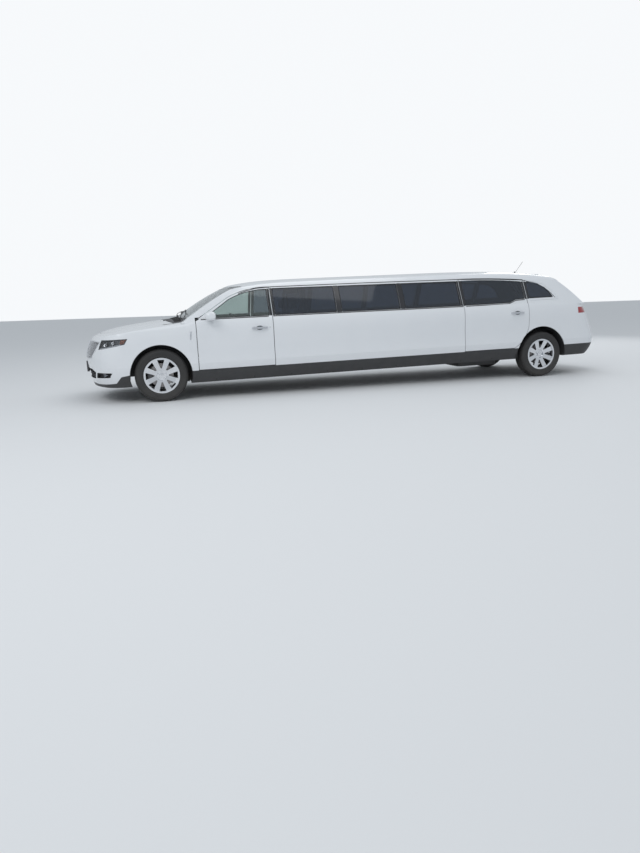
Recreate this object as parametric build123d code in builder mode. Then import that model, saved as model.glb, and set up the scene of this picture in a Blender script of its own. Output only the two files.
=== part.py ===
"""Stretched crossover limousine, modelled in millimetres.

Frame: +X runs to the rear, +Y to the car's right, +Z up. The origin is on the ground, under the
middle of the car. The body is drawn level and then turned by its rake about the front axle.
"""
import os
from math import cos, radians, sin

from build123d import *

os.makedirs("parts", exist_ok=True)

# Overall sizes
DONOR_LENGTH = 5287.0
DONOR_WHEELBASE = 3010.0
STRETCH = 3033.0
LENGTH = DONOR_LENGTH + STRETCH
FRONT_OVERHANG = 1008.0
WHEELBASE = DONOR_WHEELBASE + STRETCH
TRACK = 1650.0
HALF_WIDTH = 965.0
RAKE = 0.8

# Stations along the car
NOSE_X = -LENGTH / 2
TAIL_X = LENGTH / 2
FRONT_AXLE_X = NOSE_X + FRONT_OVERHANG
REAR_AXLE_X = FRONT_AXLE_X + WHEELBASE
DOOR_FRONT_X = FRONT_AXLE_X + 512.0
FRONT_DOOR_LENGTH = 1102.0
B_POST_X = DOOR_FRONT_X + FRONT_DOOR_LENGTH
C_POST_X = B_POST_X + STRETCH
REAR_DOOR_LENGTH = 1150.0
D_POST_X = C_POST_X + REAR_DOOR_LENGTH

# Heights of the level body
SILL_Z = 228.0
ROCKER_TOP_Z = 400.0
CREASE_Z = 503.0
BELT_Z = 1110.0
WINDOW_TOP_Z = 1492.0
RAIL_Z = 1545.0
FLOOR_Z = 330.0
REAR_FLOOR_Z = 450.0

# Walls, gaps and seats
WALL = 105.0
PILLAR_WALL = 42.0
FRONT_WALL = 60.0
HOOD_THICKNESS = 34.0
FIREWALL = 60.0
FIREWALL_X = DOOR_FRONT_X - 40.0
LAMP_DEPTH = 55.0
SHUT_GAP = 8.5
SKIN = 14.0
RABBET = 18.0
FIT = 0.3
GLASS_SET = 4.0
GLASS = 5.0
LINER = 4.0

# Nose
SLAT_DEPTH = 26.0
SLAT_PITCH = 20.0
SLAT_WIDTH = 6.0
GRILLE_RIM = 14.0
RECESS = 38.0
HOLDER_THICKNESS = 8.0

# Number plate holes
PLATE_PITCH_Y = 177.8
PLATE_PITCH_Z = 120.65
PLATE_HOLE_R = 3.5
FRONT_PLATE_Z = 480.0
HOLDER_Z = FRONT_PLATE_Z + FRONT_OVERHANG * sin(radians(RAKE))
REAR_PLATE_Z = 800.0

# Wheels
TYRE_R = 365.0
TYRE_WIDTH = 240.0
RIM_R = 246.0
RIM_WIDTH = 205.0
BARREL_R = 226.0
SPOKES = 8
FRONT_ARCH_R = 425.0
REAR_ARCH_R = 450.0
WELL_Y = 500.0

SIDE_PLANE = Plane.XZ
MIRROR = Plane.XZ
STANCE = (
    Location((FRONT_AXLE_X, 0, TYRE_R))
    * Location((0, 0, 0), (0, -RAKE, 0))
    * Location((-FRONT_AXLE_X, 0, -TYRE_R))
)
REAR_HUB_Z = TYRE_R - WHEELBASE * sin(radians(RAKE))
REAR_HUB_X = FRONT_AXLE_X + WHEELBASE * cos(radians(RAKE))
KICK_UP_X = REAR_HUB_X - 560.0


def section_plane(x):
    """Upright plane across the car at x, with Y to the right and Z up."""
    return Plane(origin=(x, 0, 0), x_dir=(0, 1, 0), z_dir=(1, 0, 0))


def finish(piece, name, place=STANCE):
    """Set a finished piece at its stance, label it and write it."""
    piece.part = piece.part.moved(place)
    piece.part.label = name
    export_step(piece.part, f"parts/{name}.step")


# Plan outlines of the lower body: height, half width along the side, then how far the nose centre
# and nose corner lie behind the nose tip, the half width at that corner, and the same for the tail
SILL_ROWS = [
    (SILL_Z, 885, 70, 360, 850, 120, 350, 850),
    (ROCKER_TOP_Z, 948, 20, 330, 905, 20, 270, 905),
    (CREASE_Z, HALF_WIDTH, 6, 320, 915, 0, 260, 912),
]
SIDE_ROWS = [
    (CREASE_Z, HALF_WIDTH, 6, 320, 915, 0, 260, 912),
    (640, 951, 0, 320, 905, 45, 300, 905),
    (860, 952, 80, 370, 900, 150, 370, 890),
    (1000, 944, 190, 430, 880, 220, 420, 870),
    (BELT_Z, 905, 330, 560, 830, 270, 480, 830),
]
NOSE_TURN_R = 330.0
TAIL_TURN_R = 260.0
SIDE_START_X = DOOR_FRONT_X + 140.0
SIDE_END_X = C_POST_X + 900.0

# Bonnet sections: distance behind the nose tip and height of the crown
BONNET_ROWS = [
    (-140, 770),
    (20, 860),
    (212, 955),
    (558, 1039),
    (907, 1084),
    (1280, 1120),
    (1515, 1160),
    (1700, 1230),
]
BONNET_HALF = 958.0
BONNET_CROWN = 78.0
BONNET_SHOULDER_R = 115.0

# Greenhouse sections: x, half width at the belt, crown height
ROOF_ROWS = [
    (NOSE_X + 1080, 840, 1330),
    (NOSE_X + 1740, 890, 1480),
    (NOSE_X + 2060, 898, 1552),
    (NOSE_X + 2420, 902, 1606),
    (NOSE_X + 2900, 902, 1632),
    (NOSE_X + 3500, 902, 1640),
    (NOSE_X + 4900, 902, 1650),
    (NOSE_X + 6100, 902, 1652),
    (NOSE_X + 6660, 898, 1636),
    (NOSE_X + 7120, 888, 1600),
    (NOSE_X + 7480, 868, 1552),
    (NOSE_X + 8000, 820, 1460),
]
GREENHOUSE_Z = 1060.0
TUMBLEHOME = 0.474
CANT_DROP = 62.0
CANT_R = 120.0

# Screens: height, centre station and side station at the given half width
WINDSCREEN_ROWS = [
    (1000, NOSE_X + 1140, NOSE_X + 1220, 780),
    (1250, NOSE_X + 1520, NOSE_X + 1605, 730),
    (1450, NOSE_X + 1870, NOSE_X + 1960, 680),
    (1640, NOSE_X + 2420, NOSE_X + 2515, 620),
]
BACKLIGHT_ROWS = [
    (1000, TAIL_X - 235, TAIL_X - 345, 720),
    (1132, TAIL_X - 365, TAIL_X - 475, 700),
    (1404, TAIL_X - 675, TAIL_X - 780, 620),
    (1640, TAIL_X - 1130, TAIL_X - 1230, 560),
]


def plan_outline(row, inset):
    """Level outline of the lower body at one height."""
    z, half, nose, nose_turn, nose_half, tail, tail_turn, tail_half = row
    half, nose_half, tail_half = half - inset, nose_half - inset, tail_half - inset
    nose, nose_turn = NOSE_X + nose + inset, NOSE_X + nose_turn + inset
    tail, tail_turn = TAIL_X - tail - inset, TAIL_X - tail_turn - inset
    with BuildSketch(Plane.XY.offset(z)) as outline:
        with BuildLine():
            ThreePointArc((nose_turn, -nose_half), (nose, 0), (nose_turn, nose_half))
            TangentArc((SIDE_START_X, half), (nose_turn, nose_half), tangent=(-1, 0))
            Line((SIDE_START_X, half), (SIDE_END_X, half))
            TangentArc((SIDE_END_X, half), (tail_turn, tail_half), tangent=(1, 0))
            ThreePointArc((tail_turn, tail_half), (tail, 0), (tail_turn, -tail_half))
            TangentArc((SIDE_END_X, -half), (tail_turn, -tail_half), tangent=(1, 0))
            Line((SIDE_END_X, -half), (SIDE_START_X, -half))
            TangentArc((SIDE_START_X, -half), (nose_turn, -nose_half), tangent=(-1, 0))
        make_face()
        fillet(outline.vertices().sort_by(Axis.X)[:2], NOSE_TURN_R)
        fillet(outline.vertices().sort_by(Axis.X)[-2:], TAIL_TURN_R)
    return outline.sketch.face()


def roof_section(row, inset):
    """Section of the greenhouse across the car at one station."""
    x, belt_half, crown = row
    crown = crown - inset
    cant = crown - CANT_DROP
    base_half = belt_half - inset + (BELT_Z - GREENHOUSE_Z) * TUMBLEHOME
    cant_half = belt_half - inset - (cant - BELT_Z) * TUMBLEHOME
    with BuildSketch(section_plane(x)) as outline:
        with BuildLine():
            Line((-base_half, GREENHOUSE_Z), (base_half, GREENHOUSE_Z))
            Line((base_half, GREENHOUSE_Z), (cant_half, cant))
            ThreePointArc((cant_half, cant), (0, crown), (-cant_half, cant))
            Line((-cant_half, cant), (-base_half, GREENHOUSE_Z))
        make_face()
        fillet(outline.vertices().sort_by(Axis.Y)[-2:], CANT_R - inset)
    return outline.sketch.face()


def bonnet_section(row, inset):
    """Section of the space under the bonnet skin at one station."""
    x, crown = NOSE_X + row[0], row[1] - inset
    half = BONNET_HALF
    edge = crown - BONNET_CROWN
    with BuildSketch(section_plane(x)) as outline:
        with BuildLine():
            ThreePointArc((-half, edge), (0, crown), (half, edge))
            Polyline((half, edge), (half, 100), (-half, 100), (-half, edge))
        make_face()
        fillet(outline.vertices().sort_by(Axis.Y)[-2:], BONNET_SHOULDER_R)
    return outline.sketch.face()


def screen_face(row, inset, reach):
    """Plan of the air outside a screen at one height, out to the station called reach."""
    z, centre, side, half = row
    with BuildSketch(Plane.XY.offset(z)) as outline:
        with BuildLine():
            arc = ThreePointArc((side + inset, -half), (centre + inset, 0), (side + inset, half))
            lean = (arc @ 1) - (arc @ 0.5)
            spread = (1600 - half) / lean.Y
            wing = side + inset + lean.X * spread
            Polyline((side + inset, half), (wing, 1600), (reach, 1600), (reach, -1600),
                     (wing, -1600), (side + inset, -half))
        make_face()
    return outline.sketch.face()


def lower_body(inset, rows):
    """Loft of the level outlines."""
    with BuildPart() as stack:
        loft([plan_outline(row, inset) for row in rows])
    return stack.part


def greenhouse(inset, glass_inset):
    """Loft of the cross-sections, trimmed by the windscreen and the backlight."""
    with BuildPart() as ahead:
        loft([screen_face(row, glass_inset, NOSE_X - 300) for row in WINDSCREEN_ROWS])
    with BuildPart() as behind:
        loft([screen_face(row, -glass_inset, TAIL_X + 300) for row in BACKLIGHT_ROWS])
    with BuildPart() as upper:
        loft([roof_section(row, inset) for row in ROOF_ROWS])
        add(ahead.part, mode=Mode.SUBTRACT)
        add(behind.part, mode=Mode.SUBTRACT)
    return upper.part


def above_bonnet(inset):
    """Air above the bonnet skin and outside the fender shoulders."""
    with BuildPart() as under:
        loft([bonnet_section(row, inset) for row in BONNET_ROWS])
    with BuildPart() as air:
        with BuildSketch(Plane.XY.offset(650)):
            with Locations((NOSE_X + 740, 0)):
                Rectangle(1680, 2 * BONNET_HALF)
        extrude(amount=700)
        add(under.part, mode=Mode.SUBTRACT)
    return air.part


def block(x0, x1, y0, y1, z0, z1):
    """Plain space between six stations, used to trim."""
    with BuildPart() as space:
        with BuildSketch(Plane.XY.offset(z0)):
            with Locations(((x0 + x1) / 2, (y0 + y1) / 2)):
                Rectangle(x1 - x0, y1 - y0)
        extrude(amount=z1 - z0)
    return space.part


def wheel_wells():
    """Four round spaces for the wheels."""
    with BuildPart() as wells:
        for x, z, radius in ((FRONT_AXLE_X, TYRE_R, FRONT_ARCH_R), (REAR_HUB_X, REAR_HUB_Z, REAR_ARCH_R)):
            for side in (-1, 1):
                with BuildSketch(Plane.XZ.offset(-side * WELL_Y)):
                    with Locations((x, z)):
                        Circle(radius)
                extrude(amount=-side * 600)
    return wells.part


# Body skin as one closed form, then the spaces inside it
with BuildPart() as outer:
    add(lower_body(0, SILL_ROWS))
    add(lower_body(0, SIDE_ROWS))
    add(above_bonnet(0), mode=Mode.SUBTRACT)
    add(greenhouse(0, 0))
with BuildPart() as cabin:
    add(lower_body(WALL, SILL_ROWS))
    add(lower_body(WALL, SIDE_ROWS))
    add(block(FIREWALL_X, TAIL_X, -1100, 1100, FLOOR_Z, BELT_Z), mode=Mode.INTERSECT)
    add(block(KICK_UP_X, TAIL_X, -790, 790, FLOOR_Z, REAR_FLOOR_Z), mode=Mode.SUBTRACT)
    add(greenhouse(PILLAR_WALL, PILLAR_WALL * 1.5))
with BuildPart() as engine_bay:
    add(lower_body(FRONT_WALL, SILL_ROWS))
    add(lower_body(FRONT_WALL, SIDE_ROWS))
    add(block(NOSE_X, FIREWALL_X - FIREWALL, -1100, 1100, 150, BELT_Z), mode=Mode.INTERSECT)
    add(above_bonnet(HOOD_THICKNESS), mode=Mode.SUBTRACT)
with BuildPart() as shell:
    add(outer.part)
    add(cabin.part, mode=Mode.SUBTRACT)
    add(engine_bay.part, mode=Mode.SUBTRACT)
    add(wheel_wells(), mode=Mode.SUBTRACT)
    add(block(KICK_UP_X + 50, TAIL_X - 330, -780, 780, 100, REAR_FLOOR_Z - 50), mode=Mode.SUBTRACT)

# Openings in the side, drawn level and looking from the left
FRONT_WINDOW_TIP_X = DOOR_FRONT_X + 112.0
REAR_WINDOW_KICK_X = D_POST_X - 335.0
POST = 38.0
SILL_SEAM_Z = ROCKER_TOP_Z + 4.0
ARCH_SEAM_R = REAR_ARCH_R + 70.0
PANES = 3


def side_prism(face, reach=1200.0):
    """Space through the whole car inside a side outline."""
    with BuildPart() as prism:
        extrude(face, amount=reach, both=True)
    return prism.part


def front_door_outline(gap):
    """Opening of the front door, drawn in by a gap."""
    with BuildSketch(SIDE_PLANE) as outline:
        with BuildLine():
            Polyline((B_POST_X - 610, 1398), (DOOR_FRONT_X, 1096), (DOOR_FRONT_X, SILL_SEAM_Z),
                     (B_POST_X, SILL_SEAM_Z), (B_POST_X, 1522))
            ThreePointArc((B_POST_X, 1522), (B_POST_X - 320, 1494), (B_POST_X - 610, 1398))
        make_face()
        if gap:
            offset(amount=-gap, kind=Kind.INTERSECTION, mode=Mode.REPLACE)
    return outline.sketch


def front_window_outline(gap):
    """Glass opening of the front door."""
    with BuildSketch(SIDE_PLANE) as outline:
        with BuildLine():
            Polyline((B_POST_X - 606, 1366), (FRONT_WINDOW_TIP_X, 1112), (B_POST_X - POST, 1112),
                     (B_POST_X - POST, WINDOW_TOP_Z))
            ThreePointArc((B_POST_X - POST, WINDOW_TOP_Z), (B_POST_X - 320, 1463),
                          (B_POST_X - 606, 1366))
        make_face()
        fillet(outline.vertices(), 14)
        if gap:
            offset(amount=-gap, mode=Mode.REPLACE)
    return outline.sketch


def rear_door_outline(gap):
    """Opening of the rear door, which follows the wheel arch at its lower rear."""
    seam_z = REAR_HUB_Z + (ARCH_SEAM_R**2 - (REAR_HUB_X - D_POST_X) ** 2) ** 0.5
    foot_x = REAR_HUB_X - (ARCH_SEAM_R**2 - (SILL_SEAM_Z - REAR_HUB_Z) ** 2) ** 0.5
    with BuildSketch(SIDE_PLANE) as outline:
        with BuildLine():
            Polyline((D_POST_X, seam_z), (D_POST_X, 1486))
            ThreePointArc((D_POST_X, 1486), (D_POST_X - 495, 1519), (C_POST_X, 1530))
            Polyline((C_POST_X, 1530), (C_POST_X, SILL_SEAM_Z), (foot_x, SILL_SEAM_Z))
            RadiusArc((foot_x, SILL_SEAM_Z), (D_POST_X, seam_z), -ARCH_SEAM_R)
        make_face()
        if gap:
            offset(amount=-gap, kind=Kind.INTERSECTION, mode=Mode.REPLACE)
    return outline.sketch


def rear_window_outline(gap):
    """Glass opening of the rear door, with its kick up to the quarter window."""
    with BuildSketch(SIDE_PLANE) as outline:
        with BuildLine():
            Polyline((D_POST_X - POST, 1455), (D_POST_X - POST, 1178), (D_POST_X - 215, 1170),
                     (REAR_WINDOW_KICK_X, 1124), (C_POST_X + POST, 1117), (C_POST_X + POST, 1500))
            ThreePointArc((C_POST_X + POST, 1500), (D_POST_X - 495, 1489), (D_POST_X - POST, 1455))
        make_face()
        fillet(outline.vertices(), 14)
        if gap:
            offset(amount=-gap, mode=Mode.REPLACE)
    return outline.sketch


def stretch_window_outline(gap):
    """Row of panes between the doors."""
    pitch = STRETCH / PANES
    with BuildSketch(SIDE_PLANE) as outline:
        for pane in range(PANES):
            left = B_POST_X + pitch * pane + POST
            right = left + pitch - 2 * POST
            with BuildLine():
                Polyline((left, 1114), (right, 1114), (right, 1498), (left, 1498), close=True)
            make_face()
        fillet(outline.vertices(), 14)
        if gap:
            offset(amount=-gap, mode=Mode.REPLACE)
    return outline.sketch


def quarter_window_outline(gap):
    """Window behind the rear door, coming to a point at its lower rear."""
    with BuildSketch(SIDE_PLANE) as outline:
        with BuildLine():
            Line((D_POST_X + POST, 1446), (D_POST_X + POST, 1181))
            Line((D_POST_X + POST, 1181), (D_POST_X + 505, 1186))
            ThreePointArc((D_POST_X + 505, 1186), (D_POST_X + 315, 1384), (D_POST_X + POST, 1446))
        make_face()
        fillet(outline.vertices(), 14)
        if gap:
            offset(amount=-gap, mode=Mode.REPLACE)
    return outline.sketch


# Plan of the hood opening, behind the grille and lamps
HOOD_FRONT_X = NOSE_X + 215.0
HOOD_REAR_X = NOSE_X + 1150.0
HOOD_HALF_FRONT = 640.0
HOOD_HALF_REAR = 760.0


def hood_outline(gap):
    """Plan of the hood, with a bowed front edge and a bowed rear edge."""
    with BuildSketch(Plane.XY.offset(780)) as outline:
        with BuildLine():
            ThreePointArc((HOOD_FRONT_X + 190, -HOOD_HALF_FRONT), (HOOD_FRONT_X, 0),
                          (HOOD_FRONT_X + 190, HOOD_HALF_FRONT))
            Line((HOOD_FRONT_X + 190, HOOD_HALF_FRONT), (HOOD_REAR_X + 90, HOOD_HALF_REAR))
            ThreePointArc((HOOD_REAR_X + 90, HOOD_HALF_REAR), (HOOD_REAR_X - 20, 0),
                          (HOOD_REAR_X + 90, -HOOD_HALF_REAR))
            Line((HOOD_REAR_X + 90, -HOOD_HALF_REAR), (HOOD_FRONT_X + 190, -HOOD_HALF_FRONT))
        make_face()
        if gap:
            offset(amount=-gap, kind=Kind.INTERSECTION, mode=Mode.REPLACE)
    return outline.sketch


# Rear view of the liftgate opening
GATE_FRONT_X = TAIL_X - 1040.0
GATE_LOW_Z = 566.0
GATE_ROWS = [(GATE_LOW_Z, 760), (1020, 790), (1140, 760), (1560, 520)]


def gate_outline(gap):
    """Rear view of the liftgate, narrowing up to the roof."""
    rows = GATE_ROWS
    with BuildSketch(section_plane(GATE_FRONT_X + gap)) as outline:
        with BuildLine():
            Polyline(*[(half, z) for z, half in rows], (rows[-1][1], 1800), (-rows[-1][1], 1800),
                     *[(-half, z) for z, half in reversed(rows)], close=True)
        make_face()
        if gap:
            offset(amount=-gap, kind=Kind.INTERSECTION, mode=Mode.REPLACE)
    return outline.sketch


# Side view of the two bumpers
LAMP_REAR_X = NOSE_X + 598.0
FASCIA_REAR_X = NOSE_X + 520.0


def front_bumper_outline(gap):
    """Front fascia, up to the hood and back to the wheel arch."""
    with BuildSketch(SIDE_PLANE) as outline:
        with BuildLine():
            Polyline((NOSE_X - 100, 100), (FRONT_AXLE_X, 100), (FRONT_AXLE_X, 560),
                     (FRONT_AXLE_X - 430, 660), (FASCIA_REAR_X, 812), (FASCIA_REAR_X, 1100),
                     (NOSE_X - 100, 1100), close=True)
        make_face()
        if gap:
            offset(amount=-gap, kind=Kind.INTERSECTION, mode=Mode.REPLACE)
    return outline.sketch


def headlamp_outline(gap):
    """Side view of the lamp, drawn back to a point over the wheel arch."""
    with BuildSketch(SIDE_PLANE) as outline:
        with BuildLine():
            Polyline((NOSE_X - 100, 748), (NOSE_X + 198, 755), (LAMP_REAR_X - 46, 819),
                     (LAMP_REAR_X, 893), (NOSE_X + 258, 884), (NOSE_X - 100, 862), close=True)
        make_face()
        if gap:
            offset(amount=-gap, kind=Kind.INTERSECTION, mode=Mode.REPLACE)
    return outline.sketch


def lip_outline(gap):
    """Side view of everything dark below the doors and bumpers."""
    with BuildSketch(SIDE_PLANE) as outline:
        with BuildLine():
            Polyline((NOSE_X - 100, 150), (TAIL_X + 100, 150), (TAIL_X + 100, 412),
                     (REAR_HUB_X, 412), (REAR_HUB_X, SILL_SEAM_Z), (FRONT_AXLE_X, SILL_SEAM_Z),
                     (NOSE_X + 570, 396), (NOSE_X + 470, 380), (NOSE_X + 400, 292),
                     (NOSE_X + 160, 268), (NOSE_X - 100, 288), close=True)
        make_face()
        if gap:
            offset(amount=-gap, kind=Kind.INTERSECTION, mode=Mode.REPLACE)
    return outline.sketch


def rear_bumper_outline(gap):
    """Bumper below the liftgate, forward to the wheel arch."""
    with BuildSketch(SIDE_PLANE) as outline:
        with BuildLine():
            Polyline((TAIL_X + 100, GATE_LOW_Z), (TAIL_X + 100, 412), (REAR_HUB_X, 412),
                     (REAR_HUB_X, 480), (TAIL_X - 620, 545), (TAIL_X - 380, GATE_LOW_Z), close=True)
        make_face()
        if gap:
            offset(amount=-gap, kind=Kind.INTERSECTION, mode=Mode.REPLACE)
    return outline.sketch


# Screens seen from the ends
WINDSCREEN_LOW_Z = 1132.0
BACKLIGHT_LOW_Z = 1158.0


def windscreen_outline(gap):
    """Front view of the windscreen."""
    with BuildSketch(section_plane(NOSE_X + 900)) as outline:
        with BuildLine():
            Polyline((-805, WINDSCREEN_LOW_Z), (805, WINDSCREEN_LOW_Z), (630, 1540), (-630, 1540),
                     close=True)
        make_face()
        fillet(outline.vertices(), 50)
        if gap:
            offset(amount=-gap, mode=Mode.REPLACE)
    return outline.sketch


def backlight_outline(gap):
    """Rear view of the liftgate glass."""
    with BuildSketch(section_plane(TAIL_X - 1020)) as outline:
        with BuildLine():
            Polyline((-690, BACKLIGHT_LOW_Z), (690, BACKLIGHT_LOW_Z), (505, 1478), (-505, 1478),
                     close=True)
        make_face()
        fillet(outline.vertices(), 60)
        if gap:
            offset(amount=-gap, mode=Mode.REPLACE)
    return outline.sketch


def grille_outline(gap):
    """Front view of one half of the split grille, left of the middle bar."""
    with BuildSketch(section_plane(NOSE_X - 50)) as outline:
        with BuildLine():
            Polyline((-34, 628), (-300, 618), (-505, 632), (-600, 738), (-672, 858), (-480, 868),
                     (-34, 874), close=True)
        make_face()
        fillet(outline.vertices(), 16)
        if gap:
            offset(amount=-gap, mode=Mode.REPLACE)
    return outline.sketch


def intake_outline():
    """Front view of the lower intake with a fog lamp recess on each side."""
    with BuildSketch(section_plane(NOSE_X - 50)) as outline:
        with BuildLine():
            Polyline((-585, 440), (-450, 482), (450, 482), (585, 440), (500, 346), (-500, 346),
                     close=True)
        make_face()
        for side in (-1, 1):
            with BuildLine():
                Polyline((side * 622, 436), (side * 890, 440), (side * 846, 374), (side * 552, 354),
                         close=True)
            make_face()
        fillet(outline.vertices(), 10)
    return outline.sketch


def plate_holder_outline():
    """Front view of the bare plate holder."""
    with BuildSketch(section_plane(NOSE_X - 50)) as outline:
        with Locations((0, HOLDER_Z)):
            RectangleRounded(304, 152, 8)
    return outline.sketch


def tail_lamp_outline(gap):
    """Rear view of the full-width lamp band."""
    with BuildSketch(section_plane(TAIL_X - 700)) as outline:
        with Locations((0, 960)):
            Rectangle(2200 - 2 * gap, 96 - 2 * gap)
    return outline.sketch


def end_prism(face, length):
    """Space along the car behind an end view."""
    with BuildPart() as prism:
        extrude(face, amount=length)
    return prism.part


front_door_space = side_prism(front_door_outline(0))
rear_door_space = side_prism(rear_door_outline(0))
front_bumper_space = side_prism(front_bumper_outline(0))
rear_bumper_space = side_prism(rear_bumper_outline(0))
lip_space = side_prism(lip_outline(0))
windscreen_space = end_prism(windscreen_outline(0), 1650)
backlight_space = end_prism(backlight_outline(0), 1000)
hood_space = end_prism(hood_outline(0), 500)
gate_space = end_prism(gate_outline(0), 1500)
left_grille_space = end_prism(grille_outline(0), 320)
LAMP_INNER_Y = 686.0
LAMP_CORNER_X = TAIL_X - 565.0
with BuildPart() as lamp_space:
    add(side_prism(headlamp_outline(0)))
    add(block(NOSE_X - 200, 0, -LAMP_INNER_Y, LAMP_INNER_Y, 0, 1400), mode=Mode.SUBTRACT)
with BuildPart() as grille_space:
    add(left_grille_space)
    mirror(about=MIRROR)
with BuildPart() as intake_space:
    extrude(intake_outline(), amount=420)
    add(lower_body(RECESS, SILL_ROWS), mode=Mode.SUBTRACT)
    add(lower_body(RECESS, SIDE_ROWS), mode=Mode.SUBTRACT)
with BuildPart() as tail_band:
    extrude(tail_lamp_outline(0), amount=900)
    add(lower_body(LAMP_DEPTH, SIDE_ROWS), mode=Mode.SUBTRACT)
tail_lamp_space = tail_band.part
with BuildPart() as corner_lamp_space:
    add(tail_lamp_space)
    add(block(LAMP_CORNER_X, TAIL_X + 100, -1100, 1100, 800, 1100), mode=Mode.INTERSECT)
floor_space = block(FIREWALL_X, TAIL_X - 260, -790, 790, 100, REAR_FLOOR_Z)
firewall_space = block(FIREWALL_X - FIREWALL, FIREWALL_X, -820, 820, 100, 1085)
cowl_space = block(HOOD_REAR_X - 60, DOOR_FRONT_X + 110, -780, 780, 900, WINDSCREEN_LOW_Z)
with BuildSketch(SIDE_PLANE) as roof_line:
    with BuildLine():
        Polyline((NOSE_X + 1000, WINDSCREEN_LOW_Z), (B_POST_X, WINDSCREEN_LOW_Z), (B_POST_X, RAIL_Z),
                 (C_POST_X, RAIL_Z), (C_POST_X, WINDSCREEN_LOW_Z), (D_POST_X, WINDSCREEN_LOW_Z),
                 (D_POST_X, 1505), (GATE_FRONT_X, 1470), (GATE_FRONT_X, 1900),
                 (NOSE_X + 1000, 1900), close=True)
    make_face()
roof_space = side_prism(roof_line.sketch)


def trimmed(keep, cut):
    """Part of the body shell inside every keep space and outside every cut space."""
    with BuildPart() as piece:
        add(shell.part)
        for space in keep:
            add(space, mode=Mode.INTERSECT)
        for space in cut:
            add(space, mode=Mode.SUBTRACT)
    return piece.part


def plate_holes(z, x0, x1):
    """Four level screw holes along the car for a number plate, given in the frame of the ground."""
    with BuildPart() as holes:
        with BuildSketch(section_plane(x0)):
            with Locations((0, z)):
                with GridLocations(PLATE_PITCH_Y, PLATE_PITCH_Z, 2, 2):
                    Circle(PLATE_HOLE_R)
        extrude(amount=x1 - x0)
    return holes.part.moved(STANCE.inverse())


# Body panels fixed to the car
with BuildPart() as front_bumper:
    add(trimmed([front_bumper_space], [hood_space, lamp_space.part, grille_space.part, lip_space]))
    add(intake_space.part, mode=Mode.SUBTRACT)
    add(plate_holes(FRONT_PLATE_Z, -LENGTH, 0), mode=Mode.SUBTRACT)
finish(front_bumper, "front_bumper")

with BuildPart() as plate_holder:
    add(block(NOSE_X - HOLDER_THICKNESS, NOSE_X + 60, -200, 200, 300, 700))
    extrude(plate_holder_outline(), amount=300, mode=Mode.INTERSECT)
    add(lower_body(0, SIDE_ROWS), mode=Mode.SUBTRACT)
    add(lower_body(0, SILL_ROWS), mode=Mode.SUBTRACT)
    add(plate_holes(FRONT_PLATE_Z, -LENGTH, 0), mode=Mode.SUBTRACT)
finish(plate_holder, "plate_holder")

with BuildPart() as headlamps:
    add(trimmed([lamp_space.part], [hood_space]))
finish(headlamps, "headlamps")

with BuildPart() as grille_depth:
    add(trimmed([grille_space.part], [hood_space]))
with BuildPart() as grille:
    add(grille_depth.part)
    add(lower_body(SLAT_DEPTH, SIDE_ROWS), mode=Mode.SUBTRACT)
    with BuildSketch(section_plane(NOSE_X - 60)) as slots:
        for side in (-1, 1):
            add(grille_outline(GRILLE_RIM) if side < 0 else grille_outline(GRILLE_RIM).mirror(MIRROR))
        with GridLocations(SLAT_PITCH, 0, int(1400 / SLAT_PITCH), 1):
            Rectangle(SLAT_WIDTH, 1800, mode=Mode.SUBTRACT)
    extrude(amount=500, mode=Mode.SUBTRACT)
finish(grille, "grille")

with BuildPart() as grille_backing:
    add(grille_depth.part)
    add(lower_body(SLAT_DEPTH, SIDE_ROWS), mode=Mode.INTERSECT)
finish(grille_backing, "grille_backing")

with BuildPart() as front_fenders:
    add(trimmed([block(NOSE_X, DOOR_FRONT_X, -1100, 1100, SILL_SEAM_Z, 1400)],
                [front_bumper_space, hood_space, lamp_space.part, cowl_space, firewall_space,
                 roof_space]))
finish(front_fenders, "front_fenders")

with BuildPart() as cowl_panel:
    add(trimmed([cowl_space], [hood_space, firewall_space, front_door_space]))
finish(cowl_panel, "cowl_panel")

with BuildPart() as firewall:
    add(trimmed([firewall_space], []))
finish(firewall, "firewall")

with BuildPart() as floor_pan:
    add(trimmed([floor_space], []))
finish(floor_pan, "floor_pan")

with BuildPart() as lower_cladding:
    add(trimmed([lip_space], [floor_space, firewall_space]))
finish(lower_cladding, "lower_cladding")

with BuildPart() as side_panels:
    add(trimmed([block(B_POST_X, C_POST_X, -1100, 1100, SILL_SEAM_Z, RAIL_Z)], [floor_space]))
    extrude(stretch_window_outline(0), amount=1200, both=True, mode=Mode.SUBTRACT)
finish(side_panels, "side_panels")

with BuildPart() as quarter_panels:
    add(trimmed([block(C_POST_X, TAIL_X + 100, -1100, 1100, 300, 1800)],
                [rear_door_space, roof_space, gate_space, rear_bumper_space, lip_space,
                 floor_space, corner_lamp_space.part]))
    extrude(quarter_window_outline(0), amount=1200, both=True, mode=Mode.SUBTRACT)
finish(quarter_panels, "quarter_panels")

with BuildPart() as roof_panel:
    add(trimmed([roof_space], [front_door_space, rear_door_space, windscreen_space, gate_space]))
finish(roof_panel, "roof_panel")

with BuildPart() as rear_bumper:
    add(trimmed([rear_bumper_space], [floor_space]))
finish(rear_bumper, "rear_bumper")

with BuildPart() as tail_lamps:
    add(trimmed([corner_lamp_space.part], [gate_space]))
finish(tail_lamps, "tail_lamps")

# Everything deeper than the outer skin of the doors and the liftgate
with BuildPart() as core:
    add(lower_body(SKIN, SILL_ROWS))
    add(lower_body(SKIN, SIDE_ROWS))
    add(greenhouse(SKIN, SKIN))

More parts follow.
